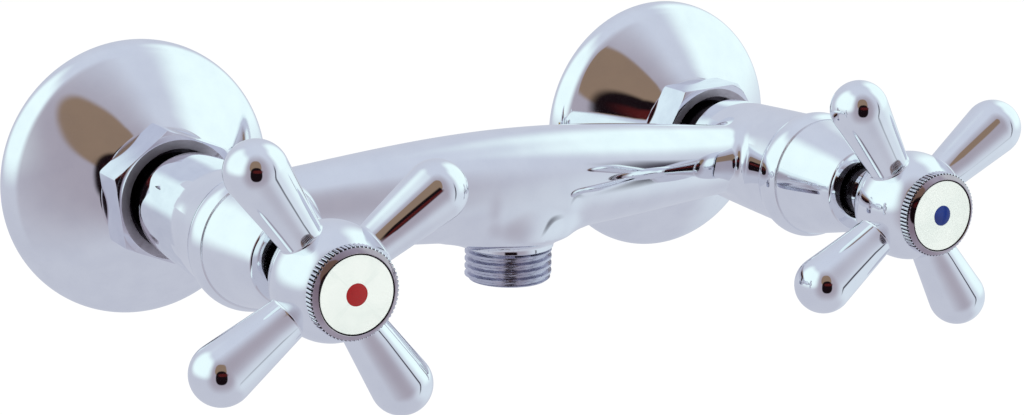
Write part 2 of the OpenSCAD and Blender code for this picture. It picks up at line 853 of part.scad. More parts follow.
// Enamelled disc that carries the mark
module index_disc() {
    bevel = 0.3;
    color([0.9, 0.91, 0.88])
        rotate_extrude()
            polygon([
                [0, disc_back],
                [index_disc_r, disc_back],
                [index_disc_r, index_front - bevel],
                [index_disc_r - bevel, index_front],
                [0, index_front]
            ]);
}

mixer_body();
hose_outlet_nipple();
on_valve(hot) wall_union();  // hot_wall_union
on_valve(hot) wall_rose();  // hot_wall_rose
on_valve(hot) union_nut(hot_nut_turn);  // hot_union_nut
on_valve(hot) inlet_washer();  // hot_inlet_washer
on_valve(hot) inlet_tailpiece();  // hot_inlet_tailpiece
on_valve(hot) valve_housing();  // hot_valve_housing
on_valve(hot) housing_seal();  // hot_housing_seal
on_valve(hot) seat_seal();  // hot_seat_seal
on_valve(hot) fixed_disc();  // hot_fixed_disc
on_valve(hot) moving_disc();  // hot_moving_disc
on_valve(hot) spindle();  // hot_spindle
on_valve(hot) spindle_seals();  // hot_spindle_seals
on_valve(hot) spindle_clip();  // hot_spindle_clip
on_valve(hot) valve_cover();  // hot_valve_cover
on_valve(hot) handle();  // hot_handle
on_valve(hot) handle_screw();  // hot_handle_screw
on_valve(hot) index_ring();  // hot_index_ring
on_valve(hot) index_disc();  // hot_index_disc
on_valve(cold) wall_union();  // cold_wall_union
on_valve(cold) wall_rose();  // cold_wall_rose
on_valve(cold) union_nut(cold_nut_turn);  // cold_union_nut
on_valve(cold) inlet_washer();  // cold_inlet_washer
on_valve(cold) inlet_tailpiece();  // cold_inlet_tailpiece
on_valve(cold) valve_housing();  // cold_valve_housing
on_valve(cold) housing_seal();  // cold_housing_seal
on_valve(cold) seat_seal();  // cold_seat_seal
on_valve(cold) fixed_disc();  // cold_fixed_disc
on_valve(cold) moving_disc();  // cold_moving_disc
on_valve(cold) spindle();  // cold_spindle
on_valve(cold) spindle_seals();  // cold_spindle_seals
on_valve(cold) spindle_clip();  // cold_spindle_clip
on_valve(cold) valve_cover();  // cold_valve_cover
on_valve(cold) handle();  // cold_handle
on_valve(cold) handle_screw();  // cold_handle_screw
on_valve(cold) index_ring();  // cold_index_ring
on_valve(cold) index_disc();  // cold_index_disc
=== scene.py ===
"""Looks of a wall-mounted shower mixer tap with two cross handles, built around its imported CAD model.

Shapes are worked out in millimetres and put into Blender in metres, in the CAD model's frame:
the wall is the plane y = 0, the tap stands out of it towards -Y, and +Z is up.
A turned piece is an outline of complex numbers: radius + distance along its axis * 1j.
Names that end in _r or _R are radii. Lengths are in millimetres and angles in degrees, unless a comment
or a call of radians() says otherwise.
"""
import json
from itertools import product
from math import acos, asin, atan2, ceil, cos, degrees, pi, radians, sin, sqrt
import bmesh
import bpy
import numpy as np
from mathutils import Euler, Matrix, Vector


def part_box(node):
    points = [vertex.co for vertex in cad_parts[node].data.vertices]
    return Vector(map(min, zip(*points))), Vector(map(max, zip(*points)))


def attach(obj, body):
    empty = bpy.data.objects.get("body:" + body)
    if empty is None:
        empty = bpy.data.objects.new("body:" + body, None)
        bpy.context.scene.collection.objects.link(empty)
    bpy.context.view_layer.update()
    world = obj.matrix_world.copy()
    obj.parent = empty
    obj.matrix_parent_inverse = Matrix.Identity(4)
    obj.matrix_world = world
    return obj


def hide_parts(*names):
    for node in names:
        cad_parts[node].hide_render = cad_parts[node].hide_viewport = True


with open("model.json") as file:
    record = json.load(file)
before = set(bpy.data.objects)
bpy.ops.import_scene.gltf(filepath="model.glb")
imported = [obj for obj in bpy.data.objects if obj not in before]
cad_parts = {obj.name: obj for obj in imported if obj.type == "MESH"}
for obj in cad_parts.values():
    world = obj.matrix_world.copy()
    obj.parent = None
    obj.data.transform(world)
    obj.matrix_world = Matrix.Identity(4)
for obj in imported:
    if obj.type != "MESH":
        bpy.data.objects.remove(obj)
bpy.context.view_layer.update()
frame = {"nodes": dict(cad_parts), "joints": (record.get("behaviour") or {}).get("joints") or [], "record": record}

MM = 0.001
SIDES = {"hot": -1, "cold": 1}
BODY_OF = {node: body for body, nodes in frame["record"]["behaviour"]["bodies"].items() for node in nodes}
AWAY = Vector((0, -1, 0))
UP = Vector((0, 0, 1))

# Fineness of the shapes
ROUND_STEPS = 224            # faces round a turned piece
BEND_STEP = radians(3)       # bend after which an outline keeps a point
LONGEST_STEP = 4.0           # longest stretch of an outline without a point
SHARP_ANGLE = radians(32)    # edges that bend more are shaded sharp
MERGE_REACH = 1e-4           # vertices closer than this become one


# Sizes and places taken from the frame

def span(node, axis):
    """Lowest and highest coordinate of a CAD node along one axis, in mm."""
    low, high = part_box(node)
    return low[axis] / MM, high[axis] / MM


def turned_size(node):
    """Outer radius of a node turned about a valve axis, and its distances from the wall, back and front."""
    left, right = span(node, 0)
    front, back = span(node, 1)
    return (right - left) / 2, -back, -front


def valve_origin(side):
    """Point where a valve's axis meets the wall."""
    return Vector((SIDES[side] * valve_x, 0, valve_z))


cold_joint = next(j for j in frame["joints"] if j["child"] == "cold_handle_set")
valve_x, hub_y, valve_z = Vector(cold_joint["pos_m"]) / MM
hub_d = -hub_y               # distance of the balls' centres from the wall


# Blends of arrays

def smooth_min(a, b, blend):
    """The smaller of two arrays, with a rounded change from one to the other."""
    share = np.clip(0.5 + 0.5 * (b - a) / blend, 0, 1)
    return b + (a - b) * share - blend * share * (1 - share)


def soft_min(a, b, blend):
    """The smaller of two arrays, with a change whose bend fades in and out."""
    near = np.clip(1 - abs(a - b) / blend, 0, 1)
    return np.minimum(a, b) - blend * near ** 3 / 6


def smooth_step(share):
    """0 below 0, 1 above 1, with an even change between them."""
    share = np.clip(share, 0, 1)
    return share * share * (3 - 2 * share)


# Outlines

def arc(centre, radius, start, end, steps=12):
    """Points of an arc round a complex centre, between two angles."""
    return [centre + radius * np.exp(1j * radians(start + (end - start) * i / steps))
            for i in range(steps + 1)]


def stepped(start, end, step):
    """Even points from one outline point to another, about this far apart."""
    count = int(ceil(abs(end - start) / step))
    return [start + (end - start) * i / count for i in range(count + 1)]


def soften(outline, size):
    """Rounds the corners of an outline by about this radius; keeps a point for each few degrees of bend."""
    window = 6    # points to each side that a point is averaged with
    outline = np.array(outline, dtype=complex)
    run = np.concatenate([[0], np.cumsum(abs(np.diff(outline)))])
    even = np.linspace(0, run[-1], int(run[-1] / (size / window)) + 2)
    fine = np.interp(even, run, outline.real) + 1j * np.interp(even, run, outline.imag)
    kernel = np.hanning(2 * window + 3)[1:-1]
    padded = np.concatenate([2 * fine[0] - fine[window:0:-1], fine, 2 * fine[-1] - fine[-2:-window - 2:-1]])
    smooth = np.convolve(padded, kernel / kernel.sum(), mode="valid")
    heading = np.unwrap(np.angle(np.diff(smooth)))
    kept = [0]
    for i in range(1, len(smooth) - 1):
        bent = abs(heading[i] - heading[kept[-1]]) > BEND_STEP
        if bent or even[i] - even[kept[-1]] > LONGEST_STEP:
            kept.append(i)
    return smooth[kept + [len(smooth) - 1]]


def soften_whole(outline, size):
    """Softens an outline that starts and ends on its axis, and keeps both ends there."""
    outline = soften(outline, size)
    outline[0] = 1j * outline[0].imag
    outline[-1] = 1j * outline[-1].imag
    return outline


# Pieces

def turned(outline, origin, axis, limit=None, blend=None, steps=ROUND_STEPS):
    """Vertices in mm and quads of an outline turned about an axis.

    limit(angle, along) gives a largest radius, which the outline's radius meets in a soft change.
    """
    outline = np.array(outline, dtype=complex)
    angle = np.linspace(0, 2 * pi, steps, endpoint=False)[None, :]
    along = np.repeat(outline.imag[:, None], steps, axis=1)
    radius = np.repeat(outline.real[:, None], steps, axis=1)
    if limit is not None:
        radius = np.where(radius > 0, smooth_min(radius, limit(angle, along), blend), radius)
    axis = Vector(axis).normalized()
    across = Vector((1, 0, 0)) if abs(axis.x) < 0.5 else Vector((0, 1, 0))
    across = (across - axis * across.dot(axis)).normalized()
    beside = axis.cross(across)
    points = (np.array(origin)
              + radius[..., None] * np.cos(angle)[..., None] * np.array(across)
              + radius[..., None] * np.sin(angle)[..., None] * np.array(beside)
              + along[..., None] * np.array(axis))
    row = np.arange(len(outline) - 1)[:, None] * steps
    here = np.arange(steps)[None, :]
    there = (here + 1) % steps
    quads = np.stack([row + here, row + there, row + steps + there, row + steps + here], axis=-1)
    return points.reshape(-1, 3), quads.reshape(-1, 4)


def piece(name, parts, slot, replaced=None, body=None, field=None):
    """One mesh object of several parts, each vertices in mm and faces, fitted to the frame."""
    vertices = []
    faces = []
    for points, quads in parts:
        faces.extend((quads + sum(map(len, vertices))).tolist())
        vertices.append(points)
    mesh = bpy.data.meshes.new(name)
    mesh.from_pydata(np.concatenate(vertices) * MM, [], faces)
    shape = bmesh.new()
    shape.from_mesh(mesh)
    bmesh.ops.remove_doubles(shape, verts=shape.verts, dist=MERGE_REACH * MM)
    bmesh.ops.recalc_face_normals(shape, faces=shape.faces)
    shape.to_mesh(mesh)
    shape.free()
    mesh.shade_smooth()
    mesh.set_sharp_from_angle(angle=SHARP_ANGLE)
    if field is not None:
        set_normals(mesh, field)
    made = bpy.data.objects.new(name, mesh)
    bpy.context.scene.collection.objects.link(made)
    mesh.materials.append(MATERIALS[slot])
    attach(made, body or BODY_OF[replaced])
    if replaced:
        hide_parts(replaced)
    return made


def recolour(made, origin, slot, chosen):
    """Gives another material to the faces chosen by their distances from the valve axis and the wall."""
    made.data.materials.append(MATERIALS[slot])
    last = len(made.data.materials) - 1
    for polygon in made.data.polygons:
        centre = polygon.center / MM - origin
        if chosen(sqrt(centre.x ** 2 + centre.z ** 2), -centre.y):
            polygon.material_index = last


# Shader nodes

def linear(red, green, blue):
    """A colour written as it looks on a screen, as the linear colour that a shader takes."""
    values = [c / 12.92 if c <= 0.04045 else ((c + 0.055) / 1.055) ** 2.4 for c in (red, green, blue)]
    return (*values, 1)


def add(tree, kind, values=None, **settings):
    """A new shader node with its settings, and with values or links in its sockets."""
    made = tree.nodes.new("ShaderNode" + kind)
    for name, value in settings.items():
        setattr(made, name, value)
    for socket, value in (values or {}).items():
        if isinstance(value, bpy.types.NodeSocket):
            tree.links.new(value, made.inputs[socket])
        else:
            made.inputs[socket].default_value = value
    return made


def maths(tree, operation, *values):
    """Output of a math node."""
    return add(tree, "Math", dict(enumerate(values)), operation=operation).outputs[0]


def between(tree, value, low, high, start=0.0, end=1.0, smooth=False):
    """Output of a map range node, kept between start and end."""
    values = {"Value": value, "From Min": low, "From Max": high, "To Min": start, "To Max": end}
    kind = "SMOOTHSTEP" if smooth else "LINEAR"
    return add(tree, "MapRange", values, interpolation_type=kind).outputs["Result"]


def mixed(tree, share, first, second):
    """Output colour of a mix node, whose colour sockets are numbers 6 and 7."""
    return add(tree, "Mix", {0: share, 6: first, 7: second}, data_type="RGBA").outputs[2]


def noise(tree, place, grain, detail=2.0, stretch=None):
    """Output of a noise texture whose features are about this many mm in size."""
    if stretch:
        place = add(tree, "Mapping", {"Vector": place, "Scale": stretch}).outputs[0]
    return add(tree, "TexNoise", {"Vector": place, "Scale": 1 / (grain * MM), "Detail": detail}).outputs[0]


def new_material(name):
    """An empty material with its tree, its output and object coordinates."""
    made = bpy.data.materials.new(name)
    made.use_nodes = True
    tree = made.node_tree
    tree.nodes.clear()
    out = add(tree, "OutputMaterial")
    place = add(tree, "TexCoord").outputs["Object"]
    return made, tree, out, place


def finish_surface(tree, out, tone, dull, height, **values):
    """Puts the principled shader with its bumps on a material's output."""
    bump = add(tree, "Bump", {"Height": height, "Distance": 1.0, "Strength": 1.0})
    sockets = {"Base Color": tone, "Roughness": dull, "Normal": bump.outputs[0], **values}
    tree.links.new(add(tree, "BsdfPrincipled", sockets).outputs[0], out.inputs["Surface"])


# Materials

# Each pair of numbers is where a noise starts to count and where it counts in full
SMUDGE_SIZE = 6.0
SMUDGE_TONE = (0.35, 0.7)
SMUDGE_DULL = (0.4, 0.75)
HAIR_SIZE = 0.5
HAIR_STRETCH = (0.06, 1.0, 1.0)
HAIR_DULL = (0.62, 0.8)
METAL_WEAR = 0.5             # how far worn edges of metal take their own colour
CLOUD_SIZE = 7.0
CLOUD_TONE = (0.35, 0.7)
SPECK_TONE = (0.66, 0.78)
SPECK_SHARE = 0.35
SPECK_DULL = (0.3, 0.75)
GLAZE_WEAR = 0.6
GLAZE_BEND = 1.5             # index of refraction
EDGE_REACH = 0.08            # pointiness above 0.5 of a fully worn edge


def worn_edges(tree):
    """1 along outer edges, 0 on flat faces."""
    pointed = add(tree, "NewGeometry").outputs["Pointiness"]
    return between(tree, pointed, 0.5 + EDGE_REACH / 4, 0.5 + EDGE_REACH)


def metal(name, colour, tarnish, rough, wave, wave_depth, edge_colour=None, grain=1.2, grain_depth=0.0):
    """Polished or raw metal with an uneven tone, smudges, hairline scratches and worn edges."""
    made, tree, out, place = new_material(name)
    broad = noise(tree, place, wave, 1.0)
    smudge = noise(tree, place, SMUDGE_SIZE, 4.0)
    fine = noise(tree, place, grain, 3.0)
    hairs = noise(tree, place, HAIR_SIZE, 2.0, stretch=HAIR_STRETCH)
    edges = worn_edges(tree)
    smooth, dullest = rough
    tone = mixed(tree, between(tree, smudge, *SMUDGE_TONE), linear(*colour), linear(*tarnish))
    tone = mixed(tree, maths(tree, "MULTIPLY", edges, METAL_WEAR), tone, linear(*(edge_colour or colour)))
    dull = between(tree, smudge, *SMUDGE_DULL, smooth, dullest)
    dull = maths(tree, "ADD", dull, between(tree, hairs, *HAIR_DULL, 0.0, dullest / 2))
    dull = maths(tree, "ADD", dull, maths(tree, "MULTIPLY", edges, dullest / 2))
    height = maths(tree, "MULTIPLY", broad, wave_depth * MM)
    height = maths(tree, "ADD", height, maths(tree, "MULTIPLY", fine, grain_depth * MM))
    finish_surface(tree, out, tone, dull, height, Metallic=1.0)
    return made


def glazed(name, colour, shade, rough, grain, depth=0.002):
    """Enamel, ceramic or rubber: a coloured body with specks, uneven gloss and a rubbed edge."""
    made, tree, out, place = new_material(name)
    specks = noise(tree, place, grain, 4.0)
    clouds = noise(tree, place, CLOUD_SIZE, 2.0)
    edges = worn_edges(tree)
    tone = mixed(tree, between(tree, clouds, *CLOUD_TONE), linear(*colour), linear(*shade))
    tone = mixed(tree, between(tree, specks, *SPECK_TONE, 0.0, SPECK_SHARE), tone, linear(*shade))
    tone = mixed(tree, maths(tree, "MULTIPLY", edges, GLAZE_WEAR), tone, linear(*shade))
    dull = between(tree, specks, *SPECK_DULL, *rough)
    height = maths(tree, "MULTIPLY", noise(tree, place, grain * 2, 2.0), depth * MM)
    finish_surface(tree, out, tone, dull, height, IOR=GLAZE_BEND)
    return made


CHROME = {"colour": (0.95, 0.955, 0.97), "tarnish": (0.93, 0.935, 0.955)}
POLISHED = (0.03, 0.06)
METALS = {
    "body_chrome": {**CHROME, "rough": POLISHED, "wave": 16, "wave_depth": 0.03},
    "rose_chrome": {**CHROME, "rough": (0.04, 0.07), "wave": 22, "wave_depth": 0.02},
    "nut_chrome": {"colour": (0.92, 0.92, 0.95), "tarnish": (0.88, 0.88, 0.92), "rough": (0.05, 0.09),
                   "wave": 9, "wave_depth": 0.012},
    "cover_chrome": {**CHROME, "rough": POLISHED, "wave": 14, "wave_depth": 0.012},
    "handle_chrome": {**CHROME, "rough": POLISHED, "wave": 12, "wave_depth": 0.02},
    # The ring's chrome is a darker, pinkish copy of the chrome: a painted reflection of the dim brownish
    # surroundings
    "ring_chrome": {"colour": (0.76, 0.71, 0.74), "tarnish": (0.66, 0.60, 0.64), "rough": (0.05, 0.09),
                    "wave": 4, "wave_depth": 0.004, "grain": 0.5, "grain_depth": 0.001},
    "thread_chrome": {"colour": (0.84, 0.84, 0.89), "tarnish": (0.74, 0.74, 0.80), "rough": (0.20, 0.28),
                      "wave": 4, "wave_depth": 0.004, "grain": 0.6, "grain_depth": 0.002},
    "nut_face": {"colour": (0.84, 0.81, 0.84), "tarnish": (0.74, 0.71, 0.74), "rough": (0.45, 0.55),
                 "wave": 4, "wave_depth": 0.004, "grain": 0.5, "grain_depth": 0.002},
    "brass": {"colour": (0.80, 0.66, 0.38), "tarnish": (0.70, 0.55, 0.30), "rough": (0.20, 0.34),
              "wave": 6, "wave_depth": 0.006, "edge_colour": (0.90, 0.79, 0.52), "grain": 0.6,
              "grain_depth": 0.004},
    # Dark metal that paints shade: on the tailpiece in the gap behind the barrel, the valve housing in the cover's
    # mouth, the handle's neck, the knurl's valleys and the line round the disc's rim
    "dull_brass": {"colour": (0.24, 0.22, 0.24), "tarnish": (0.15, 0.13, 0.15), "rough": (0.20, 0.32),
                   "wave": 5, "wave_depth": 0.006, "edge_colour": (0.40, 0.36, 0.34)},
    "steel": {"colour": (0.66, 0.66, 0.68), "tarnish": (0.54, 0.54, 0.57), "rough": (0.20, 0.32),
              "wave": 5, "wave_depth": 0.004, "grain": 0.4, "grain_depth": 0.003},
}
MATERIALS = {slot: metal(slot, **look) for slot, look in METALS.items()}
MATERIALS["rubber"] = glazed("rubber", (0.10, 0.10, 0.11), (0.16, 0.16, 0.17), (0.45, 0.62), 0.5,
                             depth=0.006)
MATERIALS["ceramic"] = glazed("ceramic", (0.93, 0.93, 0.90), (0.88, 0.88, 0.85), (0.12, 0.22), 0.6)
MATERIALS["enamel"] = glazed("enamel", (0.94, 0.96, 0.93), (0.90, 0.93, 0.90), (0.08, 0.16), 0.7)
MARK_MATERIALS = {
    "hot": glazed("mark_red", (0.62, 0.08, 0.07), (0.52, 0.05, 0.05), (0.10, 0.18), 0.4),
    "cold": glazed("mark_blue", (0.07, 0.20, 0.52), (0.05, 0.14, 0.42), (0.10, 0.18), 0.4),
}


# Threads

THREAD_PITCH = 1.814
THREAD_DEPTH = 1.1
THREAD_FLANK = 1.9           # steepness of the ridges
THREAD_STEP = 0.12           # distance between the points of an outline that carries a thread
THREAD_BLEND = 0.12
NO_LIMIT = 9.0               # added to a radius where its limit doesn't act


def thread_limit(outer_r, low, high):
    """Radius of a helical thread between two distances, as a function of angle and distance."""
    def limit(angle, along):
        turn = (along / THREAD_PITCH - angle / (2 * pi)) % 1
        ridge = smooth_step(THREAD_FLANK * (0.5 - abs(turn - 0.5) * 2) + 0.5)
        cut = outer_r - THREAD_DEPTH * (1 - ridge)
        return np.where((along > low) & (along < high), cut, outer_r + NO_LIMIT)
    return limit


# Wall side: the rose

ROSE_ROLL_R = 4.0            # rolled rim, and the angle at which its arc starts
ROSE_ROLL_START = -66
ROSE_SHOULDER_R = 7.0
ROSE_BEND = 8                # bend of the slope from the shoulder to the nut
ROSE_FRONT_R = 15.2
ROSE_BORE_R = 13.27
ROSE_WALL = 1.2
ROSE_FOOT = 1.0              # width of the rim's flat foot
ROSE_SLOPE_POINTS = 30
ROSE_SOFTNESS = 0.5
ROSE_STEPS = 320


def rose_outline(outer_r, depth):
    """Closed outline of the pressed rose: rolled rim, round shoulder and slope to the nut."""
    rim = outer_r - ROSE_ROLL_R + 1j * ROSE_ROLL_R
    shoulder = outer_r - ROSE_SHOULDER_R + 1j * ROSE_ROLL_R
    top = ROSE_FRONT_R + 1j * depth
    run = top - shoulder
    tilt = degrees(np.angle(run) - acos(ROSE_SHOULDER_R / abs(run))) - ROSE_BEND / 2

    def slope(inset):
        """Points of the slope, this far under its outer face."""
        start = shoulder + (ROSE_SHOULDER_R - inset) * np.exp(1j * radians(tilt))
        end = top - inset * np.exp(1j * radians(tilt + ROSE_BEND))
        through = start + 1j * np.exp(1j * radians(tilt)) * abs(end - start) / 2
        return [(1 - t) ** 2 * start + 2 * t * (1 - t) * through + t ** 2 * end
                for t in np.linspace(0, 1, ROSE_SLOPE_POINTS)]

    outside = (arc(rim, ROSE_ROLL_R, ROSE_ROLL_START, 0, steps=16)
               + arc(shoulder, ROSE_SHOULDER_R, 0, tilt, steps=24) + slope(0))
    inside = (slope(ROSE_WALL)[::-1] + arc(shoulder, ROSE_SHOULDER_R - ROSE_WALL, tilt, 0, steps=16)
              + arc(rim, ROSE_ROLL_R - ROSE_WALL, 0, ROSE_ROLL_START, steps=12))
    mouth = [ROSE_BORE_R + 1j * depth, ROSE_BORE_R + 1j * (depth - ROSE_WALL)]
    foot = outside[0].real + 0j
    return [foot - ROSE_FOOT, foot] + outside + mouth + inside + [foot - ROSE_FOOT]


def build_rose(side):
    """Rose of one inlet."""
    outer_r, _, front = turned_size(f"{side}_wall_rose")
    outline = soften(rose_outline(outer_r, front), ROSE_SOFTNESS)
    piece(f"{side}_rose", [turned(outline, valve_origin(side), AWAY, steps=ROSE_STEPS)], "rose_chrome",
          f"{side}_wall_rose")


# Wall side: the union nut and the tailpiece that it holds

NUT_FLATS = 29.0
NUT_TURN = {"hot": 38, "cold": 3}
NUT_LIP = 3.0                # thickness of the lip in front of the tailpiece's flange
NUT_MOUTH_R = 11.9
NUT_DISH_R = 14.1            # outer radius of the dished front face, and its depth
NUT_DISH = 0.3
NUT_BACK_EDGE = 0.2
NUT_FRONT_EDGE = 0.5
NUT_CORNER_BLEND = 0.25
NUT_FLAT_BLEND = 0.2
NUT_SOFTNESS = 0.22
NUT_STEP = 0.3
NUT_STEPS = 540
NUT_GAP = 5.0                # from the nut's front to the barrel
NUT_THREAD_GAP = 0.1
UNION_THREAD_R = 13.22
TAIL_NECK_R = 10.6
TAIL_SCREW_STEP = 0.8        # how much thinner the part in the barrel is
TAIL_BORE_R = 7.5
TAIL_SOFTNESS = 0.2


def hexagon_limit(flats, turn):
    """Radius of a hexagon with softened corners, as a function of the angle."""
    def limit(angle, _):
        folded = (angle - radians(turn)) % (pi / 3) - pi / 6
        first = flats / 2 / np.cos(folded)
        second = flats / 2 / np.cos(pi / 3 - abs(folded))
        return smooth_min(first, second, NUT_CORNER_BLEND)
    return limit


def nut_outline(back, front):
    """Closed outline of the union nut before its hexagon is cut, with its dished front."""
    corner_r = NUT_FLATS / sqrt(3)
    chamfer = (corner_r - NUT_FLATS / 2) / 2
    bore_r = UNION_THREAD_R + NUT_THREAD_GAP
    lip = front - NUT_LIP
    return [bore_r + 1j * lip, bore_r + 1j * back, corner_r - NUT_BACK_EDGE + 1j * back,
            corner_r + 1j * (back + NUT_BACK_EDGE), corner_r + 1j * (front - NUT_FRONT_EDGE),
            corner_r - chamfer + 1j * front, NUT_DISH_R + 1j * front, NUT_MOUTH_R + 1j * (front - NUT_DISH),
            NUT_MOUTH_R + 1j * lip, bore_r + 1j * lip]


def build_nut(side):
    """Union nut, fine enough along its outline for the hexagon's flats, with a duller dish."""
    origin = valve_origin(side)
    _, back, front = turned_size(f"{side}_union_nut")
    outline = soften(nut_outline(back, front), NUT_SOFTNESS)
    runs = [stepped(a, b, NUT_STEP)[:-1] for a, b in zip(outline[:-1], outline[1:])]
    fine = np.concatenate(runs + [outline[-1:]])
    hexagon = hexagon_limit(NUT_FLATS, NUT_TURN[side])
    shape = turned(fine, origin, AWAY, hexagon, NUT_FLAT_BLEND, NUT_STEPS)
    nut = piece(f"{side}_nut", [shape], "nut_chrome", f"{side}_union_nut")
    recolour(nut, origin, "nut_face", lambda r, d: r < NUT_DISH_R and d > front - 2 * NUT_DISH)


def build_tailpiece(side):
    """Tailpiece with its flange behind the nut's lip and its thinner part in the barrel."""
    flange_r, flange_back, screw_end = turned_size(f"{side}_inlet_tailpiece")
    nut_front = turned_size(f"{side}_union_nut")[2]
    flange_front = nut_front - NUT_LIP
    neck_end = nut_front + NUT_GAP
    screw_r = TAIL_NECK_R - TAIL_SCREW_STEP
    outline = [TAIL_BORE_R + 1j * flange_back, flange_r + 1j * flange_back, flange_r + 1j * flange_front,
               TAIL_NECK_R + 1j * flange_front, TAIL_NECK_R + 1j * neck_end, screw_r + 1j * neck_end,
               screw_r + 1j * screw_end, TAIL_BORE_R + 1j * screw_end, TAIL_BORE_R + 1j * flange_back]
    shape = turned(soften(outline, TAIL_SOFTNESS), valve_origin(side), AWAY)
    # The whole tailpiece takes the dark metal, as painted shade for the gap between the nut and the barrel
    piece(f"{side}_tailpiece", [shape], "dull_brass", f"{side}_inlet_tailpiece")


# Wall side: the eccentric union

INLET_THREAD_R = 10.48
INLET_BORE_R = 6.5
INLET_LEAD = 1.0             # cone at the start of the thread in the wall
INLET_PLAIN = 0.3            # end of the inlet without a thread
INLET_THREAD_END = -3.0      # distance from the wall, inside it
UNION_BODY_R = 11.6
UNION_BODY_FRONT = 10.0
UNION_TAP_BORE_R = 8.5
UNION_TAP_START = 7.0        # back of this half, inside the collar
UNION_TAP_CONE = 2.0
UNION_TAP_THREAD = 9.0
UNION_TAP_LEAD = 0.8


def build_union(side):
    """Eccentric union: inlet thread in the wall, plain collar, larger thread under the nut."""
    wall_origin = Vector((SIDES[side] * valve_x, 0, 0))
    front_y, back_y = span(f"{side}_wall_union", 1)
    back, front = -back_y, -front_y
    full = INLET_THREAD_R + 1j * (back + INLET_LEAD)
    root_r = INLET_THREAD_R - THREAD_DEPTH
    inlet = ([INLET_BORE_R + 1j * back, root_r + 1j * back]
             + stepped(root_r + 1j * back, full, THREAD_STEP)
             + stepped(full, INLET_THREAD_R + 1j * INLET_THREAD_END, THREAD_STEP)
             + [INLET_THREAD_R + 0j, UNION_BODY_R + 0j, UNION_BODY_R + 1j * UNION_BODY_FRONT,
                INLET_BORE_R + 1j * UNION_BODY_FRONT, INLET_BORE_R + 1j * back])
    tap_low = front - UNION_TAP_THREAD
    tap_high = front - UNION_TAP_LEAD
    tap = ([UNION_TAP_BORE_R + 1j * UNION_TAP_START,
            UNION_THREAD_R + 1j * (UNION_TAP_START - UNION_TAP_CONE), UNION_THREAD_R + 1j * tap_low]
           + stepped(UNION_THREAD_R + 1j * tap_low, UNION_THREAD_R + 1j * tap_high, THREAD_STEP)
           + [UNION_THREAD_R - UNION_TAP_LEAD + 1j * front, UNION_TAP_BORE_R + 1j * front,
              UNION_TAP_BORE_R + 1j * UNION_TAP_START])
    inlet_thread = thread_limit(INLET_THREAD_R, back + INLET_PLAIN, INLET_THREAD_END)
    tap_thread = thread_limit(UNION_THREAD_R, tap_low, front)
    parts = [turned(inlet, wall_origin, AWAY, inlet_thread, THREAD_BLEND),
             turned(tap, valve_origin(side), AWAY, tap_thread, THREAD_BLEND)]
    piece(f"{side}_union", parts, "brass", f"{side}_wall_union")


# The cast body: barrels, bar, belly and boss

BARREL_BACK_R = 12.3
BARREL_FRONT_R = 14.1
BARREL_LENGTH = 34.5
BARREL_FLARE = 0.8           # below 1 the barrel widens more at its back
BARREL_BACK_EDGE = (1.0, 1.5)    # how far the edge runs inwards and forwards
BARREL_FRONT_EDGE = 0.3
BARREL_SOFTNESS = 0.3
BARREL_POINTS = 24
BARREL_BLEND = 3.0           # fillet between the bar and a barrel
CHAMBER_R = 10.55
BAR_MID_R = 13.0
BAR_END_R = 7.6
BAR_TAPER = 0.7              # 0 gives the bar's swell as a parabola, 1 as its square
BAR_SETBACK = 17.5           # from the barrels' backs to the bar's middle
BAR_RISE = 1.2
BELLY_REACH = 23.0
BELLY_CURVE = 2.0
BELLY_DROP = 3.0             # how much lower than the bar's middle the belly is centred
BELLY_SINK = 0.2
BELLY_BLEND = 2.0
BELLY_START = 0.4            # share of its length over which the belly comes out of the bar
BELLY_TOP_BLEND = 0.5
BOSS_R = 10.78
BOSS_BLEND = 12.5            # the boss's fillet, and where it fades at the thread and up the bar
BOSS_PLAIN = 0.3
BOSS_FADE = 3.0
BOSS_TOP_FADE = 12.0
LEAST_BLEND = 0.1            # what is left of the boss's fillet where it has faded
THREAD_TOP_DROP = 14.2       # from the valves' height down to the thread
NET_STEP = 0.55
NET_MARGIN = 1.5
NET_DEPTH_MARGIN = 4.0
NET_END = 1.0                # how far short of the valve axes the net stops
NET_FLOOR = 0.5              # how far above the boss's end the net stops
BORDER_SINK = 0.1            # how far, and over which width, the net's border dips under the barrels
BORDER_WIDTH = 1.2

barrel_back = turned_size("hot_union_nut")[2] + NUT_GAP
barrel_front = barrel_back + BARREL_LENGTH
bar_y = -(barrel_back + BAR_SETBACK)
bar_z = valve_z + BAR_RISE
boss_z = valve_z - THREAD_TOP_DROP


def barrel_radius(distance):
    """Outer radius of a barrel at a distance from the wall."""
    share = np.clip((distance - barrel_back) / (barrel_front - barrel_back), 0, 1)
    return BARREL_BACK_R + (BARREL_FRONT_R - BARREL_BACK_R) * share ** BARREL_FLARE


def barrel_outline():
    """Closed outline of one barrel, open inside for the valve."""
    step, start = BARREL_BACK_EDGE
    wall = [barrel_radius(d) + 1j * d
            for d in np.linspace(barrel_back + start, barrel_front - BARREL_FRONT_EDGE, BARREL_POINTS)]
    return ([CHAMBER_R + 1j * barrel_front, CHAMBER_R + 1j * barrel_back,
             BARREL_BACK_R - step + 1j * barrel_back] + wall
            + [BARREL_FRONT_R - BARREL_FRONT_EDGE + 1j * barrel_front, CHAMBER_R + 1j * barrel_front])


def bar_radius(x):
    """Radius of the swelling bar at a distance from the middle."""
    swell = np.clip(1 - (x / valve_x) ** 2, 0, 1)
    return BAR_END_R + (BAR_MID_R - BAR_END_R) * swell * (1 - BAR_TAPER + BAR_TAPER * swell)


